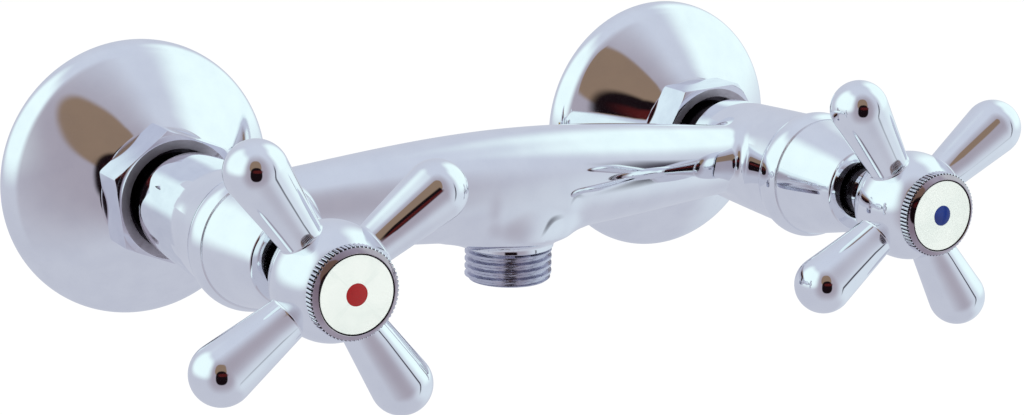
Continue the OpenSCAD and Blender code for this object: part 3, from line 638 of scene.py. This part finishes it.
def belly_radius(x):
    """Distance of the belly's underside from the bar's axis; past its ends the belly lies in the bar."""
    end_r = bar_radius(np.array(BELLY_REACH)) - BELLY_SINK
    share = np.maximum(BELLY_REACH - abs(x), 0) / (BELLY_REACH - BOSS_R)
    rise = soft_min(share ** BELLY_CURVE, 1, BELLY_TOP_BLEND)
    sunk = BELLY_SINK + BELLY_BLEND * (1 - smooth_step(share / BELLY_START))
    return bar_radius(np.maximum(abs(x), BELLY_REACH)) - sunk + (bar_z - boss_z - end_r) * rise


def cast_fields(points):
    """Distances, below zero inside, of the bar with its boss and of the nearer barrel."""
    x, y, z = points[..., 0], points[..., 1] - bar_y, points[..., 2]
    bar = np.hypot(y, z - bar_z) - bar_radius(x)
    belly = np.hypot(y, z - bar_z + BELLY_DROP) - belly_radius(x) + BELLY_DROP
    boss = np.maximum(np.hypot(x, y) - BOSS_R, z - bar_z)
    fade = smooth_step((z - boss_z - BOSS_PLAIN) / BOSS_FADE) * smooth_step((bar_z - z) / BOSS_TOP_FADE)
    cast = soft_min(soft_min(bar, belly, BELLY_BLEND), boss, LEAST_BLEND + BOSS_BLEND * fade)
    barrel = np.hypot(abs(x) - valve_x, z - valve_z) - barrel_radius(-points[..., 1])
    return cast, barrel


def cast_surface(points):
    """Distance to the visible cast surface, with its fillets."""
    return smooth_min(*cast_fields(points), BARREL_BLEND)


def cast_solid(points):
    """The same, sunk under the barrels' own surface at the fillets' ends and closed above the thread."""
    cast, barrel = cast_fields(points)
    border = np.clip((cast - BARREL_BLEND + BORDER_WIDTH) / BORDER_WIDTH, 0, 1)
    whole = smooth_min(cast, barrel, BARREL_BLEND) + BORDER_SINK * border ** 2
    inner = np.maximum(cast - BARREL_BLEND, abs(points[..., 0]) - valve_x + NET_END)
    return np.maximum(np.maximum(whole, inner), boss_z + NET_FLOOR - points[..., 2])


def gradient(field, points, reach=0.01):
    """Gradient of a field by central differences."""
    steps = np.eye(3) * reach
    return np.stack([(field(points + s) - field(points - s)) / (2 * reach) for s in steps], axis=-1)


def settle(field, points, step, rounds=6, least_slope=0.05):
    """Points moved onto a field's zero surface, by at most half a step in each round."""
    for _ in range(rounds):
        slope = gradient(field, points)
        steepness = np.maximum((slope ** 2).sum(axis=1, keepdims=True), least_slope)
        points = points - np.clip(field(points)[:, None] * slope / steepness, -step / 2, step / 2)
    return points


def surface_net(field, low, high, step):
    """Vertices on a field's zero surface and the quads between them, one vertex for each mixed cell."""
    axes = [np.arange(a, b + step, step) for a, b in zip(low, high)]
    grid = np.stack(np.meshgrid(*axes, indexing="ij"), axis=-1)
    inside = field(grid) < 0
    size = np.array(inside.shape) - 1
    count = sum(inside[i:i + size[0], j:j + size[1], k:k + size[2]].astype(int)
                for i, j, k in product((0, 1), repeat=3))
    mixed_cells = (count > 0) & (count < 8)
    index = np.full(mixed_cells.shape, -1)
    index[mixed_cells] = np.arange(mixed_cells.sum())
    points = settle(field, grid[:-1, :-1, :-1][mixed_cells] + step / 2, step)
    quads = []
    for axis in range(3):
        b, c = (axis + 1) % 3, (axis + 2) % 3
        turned_in = np.moveaxis(inside, (axis, b, c), (0, 1, 2))
        cells = np.moveaxis(index, (axis, b, c), (0, 1, 2))
        start = turned_in[:-1, 1:-1, 1:-1]
        end = turned_in[1:, 1:-1, 1:-1]
        for mask, order in ((start & ~end, (0, 1, 2, 3)), (~start & end, (3, 2, 1, 0))):
            i, j, k = np.nonzero(mask)
            corners = [cells[i, j + 1, k + 1], cells[i, j, k + 1], cells[i, j, k], cells[i, j + 1, k]]
            quads.append(np.stack([corners[o] for o in order], axis=-1))
    return points, np.concatenate(quads)


def set_normals(mesh, field, reach=0.12, agreement=0.8):
    """Gives the corners that lie on a field's zero surface the field's own normals."""
    places = np.empty(len(mesh.vertices) * 3)
    mesh.vertices.foreach_get("co", places)
    places = places.reshape(-1, 3) / MM
    corner_vertex = np.empty(len(mesh.loops), dtype=int)
    mesh.loops.foreach_get("vertex_index", corner_vertex)
    corner_normal = np.empty(len(mesh.loops) * 3)
    mesh.corner_normals.foreach_get("vector", corner_normal)
    corner_normal = corner_normal.reshape(-1, 3)
    slope = gradient(field, places)
    slope /= np.maximum(np.linalg.norm(slope, axis=1, keepdims=True), 1e-6)
    near = (abs(field(places)) < reach)[corner_vertex]
    agree = (slope[corner_vertex] * corner_normal).sum(axis=1) > agreement
    chosen = near & agree
    corner_normal[chosen] = slope[corner_vertex][chosen]
    mesh.normals_split_custom_set(corner_normal.tolist())


RIM_BORE_R = 8.65            # rim round the boss's end
RIM_EDGE = 0.3
RIM_PROUD = 0.02
RIM_SIDE = 0.9
RIM_DEPTH = 1.2
RIM_SOFTNESS = 0.12


def build_body():
    """The cast body in one piece: net of bar and boss, the two barrels, and the boss's rim."""
    low = (-valve_x - NET_MARGIN, bar_y - BAR_MID_R - NET_DEPTH_MARGIN, boss_z - NET_MARGIN)
    high = (valve_x + NET_MARGIN, bar_y + BAR_MID_R + NET_DEPTH_MARGIN, bar_z + BAR_MID_R + NET_MARGIN)
    parts = [surface_net(cast_solid, low, high, NET_STEP)]
    for side in SIDES:
        parts.append(turned(soften(barrel_outline(), BARREL_SOFTNESS), valve_origin(side), AWAY))
    side_r = BOSS_R + RIM_PROUD
    rim = [RIM_BORE_R + 1j * boss_z, BOSS_R - RIM_EDGE + 1j * boss_z, side_r + 1j * (boss_z + RIM_EDGE),
           side_r + 1j * (boss_z + RIM_SIDE), RIM_BORE_R + 1j * (boss_z + RIM_DEPTH),
           RIM_BORE_R + 1j * boss_z]
    parts.append(turned(soften(rim, RIM_SOFTNESS), Vector((0, bar_y, 0)), UP))
    piece("cast_body", parts, "body_chrome", "mixer_body", field=cast_surface)


NIPPLE_BORE_R = 6.2
NIPPLE_SEAT_R = 7.4          # inner edge of the flat end for the hose's washer
NIPPLE_CONE = 1.2            # depth of the cone inside that edge
NIPPLE_SHANK_R = 8.6
NIPPLE_LEAD = 0.8
NIPPLE_RUNOUT = 0.5
NIPPLE_STEP = 0.08
NIPPLE_OVERRUN = (1.0, 0.01)     # how far the thread's cut runs past the nipple's end and into the boss


def build_nipple():
    """The nipple with the hose thread."""
    end, top = span("hose_outlet_nipple", 2)
    root_r = INLET_THREAD_R - THREAD_DEPTH
    full = INLET_THREAD_R + 1j * (end + NIPPLE_LEAD)
    outline = ([NIPPLE_BORE_R + 1j * (end + NIPPLE_CONE), NIPPLE_SEAT_R + 1j * end, root_r + 1j * end]
               + stepped(root_r + 1j * end, full, NIPPLE_STEP)
               + stepped(full, INLET_THREAD_R + 1j * (boss_z - NIPPLE_RUNOUT), NIPPLE_STEP)
               + [root_r + 1j * boss_z, NIPPLE_SHANK_R + 1j * boss_z, NIPPLE_SHANK_R + 1j * top,
                  NIPPLE_BORE_R + 1j * top, NIPPLE_BORE_R + 1j * (end + NIPPLE_CONE)])
    below, above = NIPPLE_OVERRUN
    thread = thread_limit(INLET_THREAD_R, end - below, boss_z + above)
    shape = turned(outline, Vector((0, bar_y, 0)), UP, thread, THREAD_BLEND)
    piece("outlet_thread", [shape], "thread_chrome", "hose_outlet_nipple")


# Front side: the valve cover

COVER_BEAD_R = 5.9           # radius of the bead's own arc, and half its angle
COVER_BEAD_ANGLE = 35
COVER_STEP = 0.2             # how far the slope starts under the bead's edge
COVER_GROOVE = (0.15, 0.2)   # depth and width of the fine groove between them
COVER_GROOVE_EXIT = (0.08, 0.25)     # the same for the point where it comes back to the slope
COVER_NOSE_R = 10.4
COVER_ROUND = 0.9
COVER_MOUTH_R = 6.7
COVER_MOUTH_EDGE = (0.3, 0.4)
COVER_WEB = 3.0
COVER_WEB_STEP = 0.8
COVER_WALL = 1.5
COVER_SOFTNESS = 0.18
FRONT_STEPS = 256


def cover_outline(outer_r, back, front):
    """Closed outline of the valve cover: bead, fine groove, slope, rounded nose and mouth."""
    half = COVER_BEAD_R * sin(radians(COVER_BEAD_ANGLE))
    bead_x = outer_r - COVER_BEAD_R
    bead_front = back + 2 * half
    slope_r = bead_x + COVER_BEAD_R * cos(radians(COVER_BEAD_ANGLE)) - COVER_STEP
    slope_front = front - COVER_ROUND
    nose_angle = degrees(atan2(slope_r - COVER_NOSE_R, slope_front - bead_front))
    inner_r = slope_r - COVER_WALL
    web_back = front - COVER_WEB
    groove_depth, groove_width = COVER_GROOVE
    exit_depth, exit_width = COVER_GROOVE_EXIT
    mouth_out, mouth_back = COVER_MOUTH_EDGE
    bead = arc(bead_x + 1j * (back + half), COVER_BEAD_R, -COVER_BEAD_ANGLE, COVER_BEAD_ANGLE, steps=24)
    groove_r = slope_r - groove_depth
    groove = [groove_r + 1j * bead_front, groove_r + 1j * (bead_front + groove_width),
              slope_r - exit_depth + 1j * (bead_front + exit_width)]
    nose = arc(COVER_NOSE_R - COVER_ROUND + 1j * slope_front, COVER_ROUND, nose_angle, 90)
    inside = [COVER_MOUTH_R + mouth_out + 1j * front, COVER_MOUTH_R + 1j * (front - mouth_back),
              COVER_MOUTH_R + 1j * web_back, COVER_NOSE_R - COVER_WEB_STEP + 1j * web_back,
              inner_r + 1j * bead_front, inner_r + 1j * back]
    return [inner_r + 1j * back] + bead + groove + nose + inside


def build_cover(side):
    """Cover of one valve."""
    outline = soften(cover_outline(*turned_size(f"{side}_valve_cover")), COVER_SOFTNESS)
    shape = turned(outline, valve_origin(side), AWAY, steps=FRONT_STEPS)
    piece(f"{side}_cover", [shape], "cover_chrome", f"{side}_valve_cover")


# Front side: the cross handle

HUB_R = 12.7
HUB_FLAT_R = 9.45            # flat on the ball under the ring
NECK_R = 6.0
NECK_EDGE = 0.4
NECK_FILLET = 3.0
NECK_SHADE_LENGTH = 4.0              # length of the neck that is dark with painted shade
NECK_SHADE_REACH = 0.15       # faces this far outside its radius still get the neck's painted shade
FILLET_GAP = 4               # angle left free between the fillet's end and the ball's first point
SPLINE_R = 4.05
SCREW_HOLE_R = 2.1
RECESS_R = 8.25
RECESS_DEPTH = 7.6
HUB_WEB = 3.5                # between the recess and the splines
ARM_TIP_R = 6.7
ARM_ROOT_R = 4.8
ARM_TURN = 34
ARM_FILLET = 0.8
ARM_COLLAR = 1.4             # how far inside the ball's surface the root's fillet starts
ARM_STEPS = 144
HANDLE_SOFTNESS = 0.25


def hub_outline(neck_back):
    """Closed outline of the ball: neck, socket for the spindle, screw hole and recess for the ring."""
    front = hub_d + sqrt(HUB_R ** 2 - HUB_FLAT_R ** 2)
    floor = front - RECESS_DEPTH
    web_back = floor - HUB_WEB
    fillet_r = NECK_R + NECK_FILLET
    reach = HUB_R + NECK_FILLET
    neck_front = hub_d - sqrt(reach ** 2 - fillet_r ** 2)
    neck_sweep = degrees(acos(fillet_r / reach))
    flat_angle = degrees(acos(HUB_FLAT_R / HUB_R))
    fillet = arc(fillet_r + 1j * neck_front, NECK_FILLET, 180, 180 - neck_sweep)
    back_angle = degrees(atan2(fillet[-1].imag - hub_d, fillet[-1].real)) + FILLET_GAP
    ball = arc(1j * hub_d, HUB_R, back_angle, flat_angle, steps=60)
    return ([SPLINE_R + 1j * web_back, SPLINE_R + 1j * neck_back, NECK_R - NECK_EDGE + 1j * neck_back,
             NECK_R + 1j * (neck_back + NECK_EDGE)] + fillet + ball
            + [RECESS_R + 1j * front, RECESS_R + 1j * floor, SCREW_HOLE_R + 1j * floor,
               SCREW_HOLE_R + 1j * web_back, SPLINE_R + 1j * web_back])


def arm_outline(reach):
    """Outline of an arm from inside the ball to the end of its round tip."""
    start = HUB_R - ARM_COLLAR
    foot_r = ARM_ROOT_R + ARM_FILLET
    flank = -degrees(asin((ARM_TIP_R - ARM_ROOT_R) / (reach - HUB_R)))
    foot = arc(foot_r + 1j * (start + ARM_FILLET), ARM_FILLET, 270, 180)
    tip = arc(1j * reach, ARM_TIP_R, flank, 90, steps=40)
    return [1j * HUB_R / 2, foot_r + 1j * HUB_R / 2] + foot + tip


def build_handle(side):
    """Ball with its neck and four arms, with painted shade on the neck where it sits in the cover's mouth."""
    origin = valve_origin(side)
    half_width, neck_back, _ = turned_size(f"{side}_handle")
    reach = (half_width - ARM_TIP_R) / cos(radians(ARM_TURN))
    hub = soften(hub_outline(neck_back), HANDLE_SOFTNESS)
    arm = soften_whole(arm_outline(reach), HANDLE_SOFTNESS)
    parts = [turned(hub, origin, AWAY, steps=FRONT_STEPS)]
    for i in range(4):
        angle = radians(ARM_TURN + 90 * i)
        parts.append(turned(arm, origin + AWAY * hub_d, (cos(angle), 0, sin(angle)), steps=ARM_STEPS))
    cross = piece(f"{side}_cross", parts, "handle_chrome", f"{side}_handle")
    shade_r = NECK_R + NECK_SHADE_REACH
    # Painted shade: the neck's faces take the dark metal, standing in for the shadow in the cover's mouth
    recolour(cross, origin, "dull_brass", lambda r, d: r < shade_r and d < neck_back + NECK_SHADE_LENGTH)


# Front side: the knurled ring and the enamelled disc

RING_TEETH = 66
RING_TOOTH = 0.45
RING_TOOTH_STEPS = 12
RING_TOOTH_BLEND = 0.05
RING_SPIGOT = 3.45           # depth of the ring's spigot in the ball's recess
RING_KNURL = 2.7
RING_BACK_EDGE = 0.3
RING_BAND_EDGE = 0.25
RING_BAND_STEP = 0.4
RING_GAP = 0.05              # clearance in the recess and round the disc, and from valleys to bevel
RING_STEP = 0.1              # small edge between the band and the bevel
RING_LEDGE = 1.6
RING_LIP = ((0.25, 0.04), (0.18, 0.0), (0.08, 0.1))    # lip: outside the disc, behind the front
RING_VALLEY_REACH = 0.2      # faces this far inside the bevel's edge still belong to the valleys
DISC_SOFTNESS = 0.1
DISC_STEPS = 192
DISC_SINK = 0.2              # from the front of the CAD disc back to the enamel
DISC_EDGE = 0.15
SHADE_LINE_WIDTH = 0.35
MARK_R = 2.6
MARK_FOOT = 0.3
MARK_RISE = 0.25
MARK_SINK = 0.1
MARK_POINTS = 10


def teeth_limit(outer_r, back, front):
    """Radius of the knurled band: round ridges with sharp valleys between them."""
    def limit(angle, along):
        tooth = outer_r - RING_TOOTH * (1 - abs(np.sin(angle * RING_TEETH / 2)))
        return np.where((along > back) & (along < front), tooth, outer_r + NO_LIMIT)
    return limit


def ring_outline(ring_r, back, front, knurl_back, knurl_front, disc_r, disc_back):
    """Closed outline of the ring: spigot, knurled band, bevel, lip round the disc and ledge under it."""
    bevel_r = ring_r - RING_TOOTH - RING_GAP
    spigot_r = RECESS_R - RING_GAP
    ledge_r = disc_r - RING_LEDGE
    band_back = knurl_back + RING_BAND_EDGE
    band_front = knurl_front - RING_BAND_EDGE
    band = stepped(ring_r + 1j * band_back, ring_r + 1j * band_front, RING_BAND_STEP)
    lip = [disc_r + out + 1j * (front - sunk) for out, sunk in RING_LIP]
    return ([ledge_r + 1j * back, spigot_r + 1j * back, spigot_r + 1j * knurl_back,
             ring_r - RING_BACK_EDGE + 1j * knurl_back] + band
            + [bevel_r + RING_STEP + 1j * knurl_front, bevel_r + 1j * (knurl_front + RING_STEP)] + lip
            + [disc_r + RING_GAP + 1j * disc_back, ledge_r + 1j * disc_back, ledge_r + 1j * back])


def build_ring(side):
    """Knurled ring, with a painted highlight on its ridges and painted shade in its valleys."""
    origin = valve_origin(side)
    ring_r, back, front = turned_size(f"{side}_index_ring")
    disc_r, disc_back, _ = turned_size(f"{side}_index_disc")
    knurl_back = back + RING_SPIGOT
    knurl_front = knurl_back + RING_KNURL
    outline = ring_outline(ring_r, back, front, knurl_back, knurl_front, disc_r, disc_back)
    teeth = teeth_limit(ring_r, knurl_back + RING_GAP, knurl_front)
    shape = turned(outline, origin, AWAY, teeth, RING_TOOTH_BLEND, RING_TEETH * RING_TOOTH_STEPS)
    ring = piece(f"{side}_knurled_ring", [shape], "ring_chrome", f"{side}_index_ring")
    ridge_r = ring_r - RING_TOOTH / 2
    shaded_valley_r = ring_r - RING_TOOTH - RING_GAP - RING_VALLEY_REACH

    def in_band(d):
        """Whether a distance from the wall lies within the knurled band."""
        return knurl_back < d < knurl_front - RING_STEP

    # Painted shade: the valleys take the dark metal
    recolour(ring, origin, "dull_brass", lambda r, d: in_band(d) and shaded_valley_r < r < ridge_r)
    # Painted highlight: the ridges take the lighter nut chrome
    recolour(ring, origin, "nut_chrome", lambda r, d: in_band(d) and r >= ridge_r)


def build_disc(side):
    """Enamelled disc with a line of painted shade round its rim, where it meets the ring, and a plain coloured
    dot.
    """
    origin = valve_origin(side)
    node = f"{side}_index_disc"
    disc_r, back, front = turned_size(node)
    face = front - DISC_SINK
    shade_line_r = disc_r - SHADE_LINE_WIDTH
    outline = soften_whole([1j * back, disc_r + 1j * back, disc_r + 1j * (face - DISC_EDGE),
                            disc_r - DISC_EDGE + 1j * face, shade_line_r + 1j * face, 1j * face], DISC_SOFTNESS)
    disc = piece(f"{side}_enamel", [turned(outline, origin, AWAY, steps=DISC_STEPS)], "enamel", node)
    # Painted shade: the rim takes the dark metal, standing in for the shadow in the gap to the ring
    recolour(disc, origin, "dull_brass", lambda r, d: r > shade_line_r)
    dome = [MARK_R * cos(t) + 1j * (face - MARK_SINK + MARK_RISE * sin(t))
            for t in np.linspace(0, pi / 2, MARK_POINTS)]
    dome[-1] = 1j * dome[-1].imag
    foot = face - MARK_FOOT
    dot = turned([1j * foot, MARK_R + 1j * foot] + dome, origin, AWAY, steps=DISC_STEPS // 2)
    mark = piece(f"{side}_mark", [dot], "enamel", body=BODY_OF[node])
    mark.data.materials[0] = MARK_MATERIALS[side]


# All pieces

build_body()
build_nipple()
for side in SIDES:
    for build in (build_rose, build_nut, build_tailpiece, build_union,
                  build_cover, build_handle, build_ring, build_disc):
        build(side)

# Pieces inside the tap keep their CAD shape
INNER_SLOTS = {
    # the valve housing takes the dark metal, as painted shade inside the cover's mouth
    "inlet_washer": "rubber", "valve_housing": "dull_brass", "housing_seal": "rubber",
    "seat_seal": "rubber", "fixed_disc": "ceramic", "moving_disc": "ceramic", "spindle": "brass",
    "spindle_seals": "rubber", "spindle_clip": "steel", "handle_screw": "steel",
}
for side, (kind, slot) in product(SIDES, INNER_SLOTS.items()):
    node = frame["nodes"][f"{side}_{kind}"]
    node.data.materials.clear()
    node.data.materials.append(MATERIALS[slot])


# Camera, floor and lamps

# Places and sizes here are in metres, the lens and the sensor in mm
CAMERA_PLACE = (-0.277677, -0.526382, 0.136053)
CAMERA_HEADING = 30.498      # to the right of straight at the wall
CAMERA_PITCH = 13.430        # downwards
CAMERA_ROLL = 0.987
CAMERA_LENS = 82.98
CAMERA_SENSOR = 36
FLOOR_Z = -0.25
FLOOR_HALF = 8
FLOOR_CLOUDS = 200.0         # in mm
FLOOR_COLOURS = ((0.97, 0.97, 0.97), (0.95, 0.95, 0.95))
FLOOR_GLOW = 1.08            # strength and share of the white that the camera sees in place of the floor
FLOOR_GLOW_SHARE = 0.85
LAMP_AIM = Vector((0, -0.06, 0))
LAMP_SIZE = 0.8
LAMPS = {"key": ((0.7, -0.9, 0.9), 6), "fill": ((-0.9, -0.6, 0.6), 3.5)}


def build_camera():
    """Camera at the photograph's place and angle."""
    data = bpy.data.cameras.new("camera")
    data.lens = CAMERA_LENS
    data.sensor_width = CAMERA_SENSOR
    camera = bpy.data.objects.new("camera", data)
    bpy.context.scene.collection.objects.link(camera)
    aim = Euler((radians(90 - CAMERA_PITCH), 0, radians(-CAMERA_HEADING))).to_matrix().to_4x4()
    roll = Matrix.Rotation(radians(CAMERA_ROLL), 4, "Z")
    camera.matrix_world = Matrix.Translation(CAMERA_PLACE) @ aim @ roll
    bpy.context.scene.camera = camera


def build_floor():
    """Pale floor, white to the camera but for a faint shadow, unseen by the chrome."""
    mesh = bpy.data.meshes.new("floor")
    corners = [(-1, -1), (1, -1), (1, 1), (-1, 1)]
    mesh.from_pydata([(x * FLOOR_HALF, y * FLOOR_HALF, FLOOR_Z) for x, y in corners], [], [(0, 1, 2, 3)])
    floor = bpy.data.objects.new("floor", mesh)
    bpy.context.scene.collection.objects.link(floor)
    floor.visible_glossy = False
    made, tree, out, place = new_material("floor")
    clouds = noise(tree, place, FLOOR_CLOUDS)
    light, shade = (linear(*colour) for colour in FLOOR_COLOURS)
    tone = mixed(tree, clouds, light, shade)
    diffuse = add(tree, "BsdfDiffuse", {"Color": tone})
    glow = add(tree, "Emission", {"Color": (1, 1, 1, 1), "Strength": FLOOR_GLOW})
    seen = add(tree, "LightPath").outputs["Is Camera Ray"]
    share = maths(tree, "MULTIPLY", seen, FLOOR_GLOW_SHARE)
    both = add(tree, "MixShader", {0: share, 1: diffuse.outputs[0], 2: glow.outputs[0]})
    tree.links.new(both.outputs[0], out.inputs["Surface"])
    mesh.materials.append(made)


def build_lamp(name, place, power):
    """Soft area lamp aimed at the tap, kept out of the reflections, which come from the studio."""
    data = bpy.data.lights.new(name, "AREA")
    data.shape = "DISK"
    data.size = LAMP_SIZE
    data.energy = power
    lamp = bpy.data.objects.new(name, data)
    lamp.location = place
    lamp.rotation_euler = (LAMP_AIM - lamp.location).to_track_quat("-Z", "Y").to_euler()
    lamp.visible_glossy = False
    bpy.context.scene.collection.objects.link(lamp)


# The studio that the chrome reflects

STUDIO_LOW = (0.750, 0.765, 0.812)
STUDIO_HIGH = (0.785, 0.815, 0.870)
STUDIO_HEIGHTS = (-20, 70)   # between which the studio's colour changes from low to high
STUDIO_STRENGTH = 1.10
SOFT_LIGHT = (0.95, 0.97, 1.0, 1)
SOFT_STRENGTH = 0.7
# Fields of the studio round the tap, painted in this order. Heading 0 looks out of the wall, +90 to the
# right. Each has: heading, height, half width and half height in degrees, the share of them that is soft,
# the power of its outline, which is 2 for an ellipse and more for a box, and its colour
STUDIO_FIELDS = (
    ("dim room", -22, 10, 44, 52, 0.40, 3, (0.640, 0.620, 0.665)),
    ("right glow", 80, -15, 45, 26, 0.50, 3, (0.830, 0.870, 0.905)),
    ("right softbox", 95, 28, 38, 31, 0.30, 4, (0.925, 1.000, 1.000)),
    ("left softbox", -109, 28, 44, 31, 0.30, 4, (0.925, 1.000, 1.000)),
    ("tan cloth", -26, 30, 22, 20, 0.08, 2.6, (0.535, 0.455, 0.390)),
    ("opening", -23, 3, 20, 24, 0.08, 2.6, (0.085, 0.050, 0.065)),
    ("red stripe", -18, 13, 16, 5, 0.35, 3, (0.300, 0.100, 0.100)),
    ("stand", 45, 0, 2.4, 20, 0.60, 4, (0.260, 0.250, 0.290)),
)


def studio_colour(tree):
    """Colour of the studio in each direction."""
    direction = add(tree, "TexCoord").outputs["Generated"]
    parts = add(tree, "SeparateXYZ", {0: direction}).outputs
    outward = maths(tree, "MULTIPLY", parts[1], -1.0)
    heading = maths(tree, "DEGREES", maths(tree, "ARCTAN2", parts[0], outward))
    height = maths(tree, "DEGREES", maths(tree, "ARCSINE", parts[2]))
    colour = mixed(tree, between(tree, height, *STUDIO_HEIGHTS), linear(*STUDIO_LOW), linear(*STUDIO_HIGH))
    for _, at, up, wide, high, soft, power, tone in STUDIO_FIELDS:
        turn = maths(tree, "WRAP", maths(tree, "SUBTRACT", heading, at), 180.0, -180.0)
        off = maths(tree, "ABSOLUTE", turn)
        lift = maths(tree, "ABSOLUTE", maths(tree, "SUBTRACT", height, up))
        reach = maths(tree, "ADD", maths(tree, "POWER", maths(tree, "DIVIDE", off, wide), power),
                      maths(tree, "POWER", maths(tree, "DIVIDE", lift, high), power))
        reach = maths(tree, "POWER", reach, 1 / power)
        colour = mixed(tree, between(tree, reach, 1 + soft, 1 - soft, smooth=True), colour, linear(*tone))
    return colour


def build_world():
    """White to the camera, the studio to the chrome, plain soft light to everything else."""
    world = bpy.data.worlds.new("studio")
    bpy.context.scene.world = world
    world.use_nodes = True
    tree = world.node_tree
    tree.nodes.clear()
    path = add(tree, "LightPath").outputs
    studio = add(tree, "Background", {"Color": studio_colour(tree), "Strength": STUDIO_STRENGTH})
    soft = add(tree, "Background", {"Color": SOFT_LIGHT, "Strength": SOFT_STRENGTH})
    white = add(tree, "Background", {"Color": (1, 1, 1, 1), "Strength": 1.0})
    lit = add(tree, "MixShader", {0: path["Is Glossy Ray"], 1: soft.outputs[0], 2: studio.outputs[0]})
    whole = add(tree, "MixShader", {0: path["Is Camera Ray"], 1: lit.outputs[0], 2: white.outputs[0]})
    out = add(tree, "OutputWorld")
    tree.links.new(whole.outputs[0], out.inputs["Surface"])


build_camera()
build_floor()
for name, (place, power) in LAMPS.items():
    build_lamp(name, place, power)
build_world()
bpy.context.scene.view_settings.view_transform = "Standard"
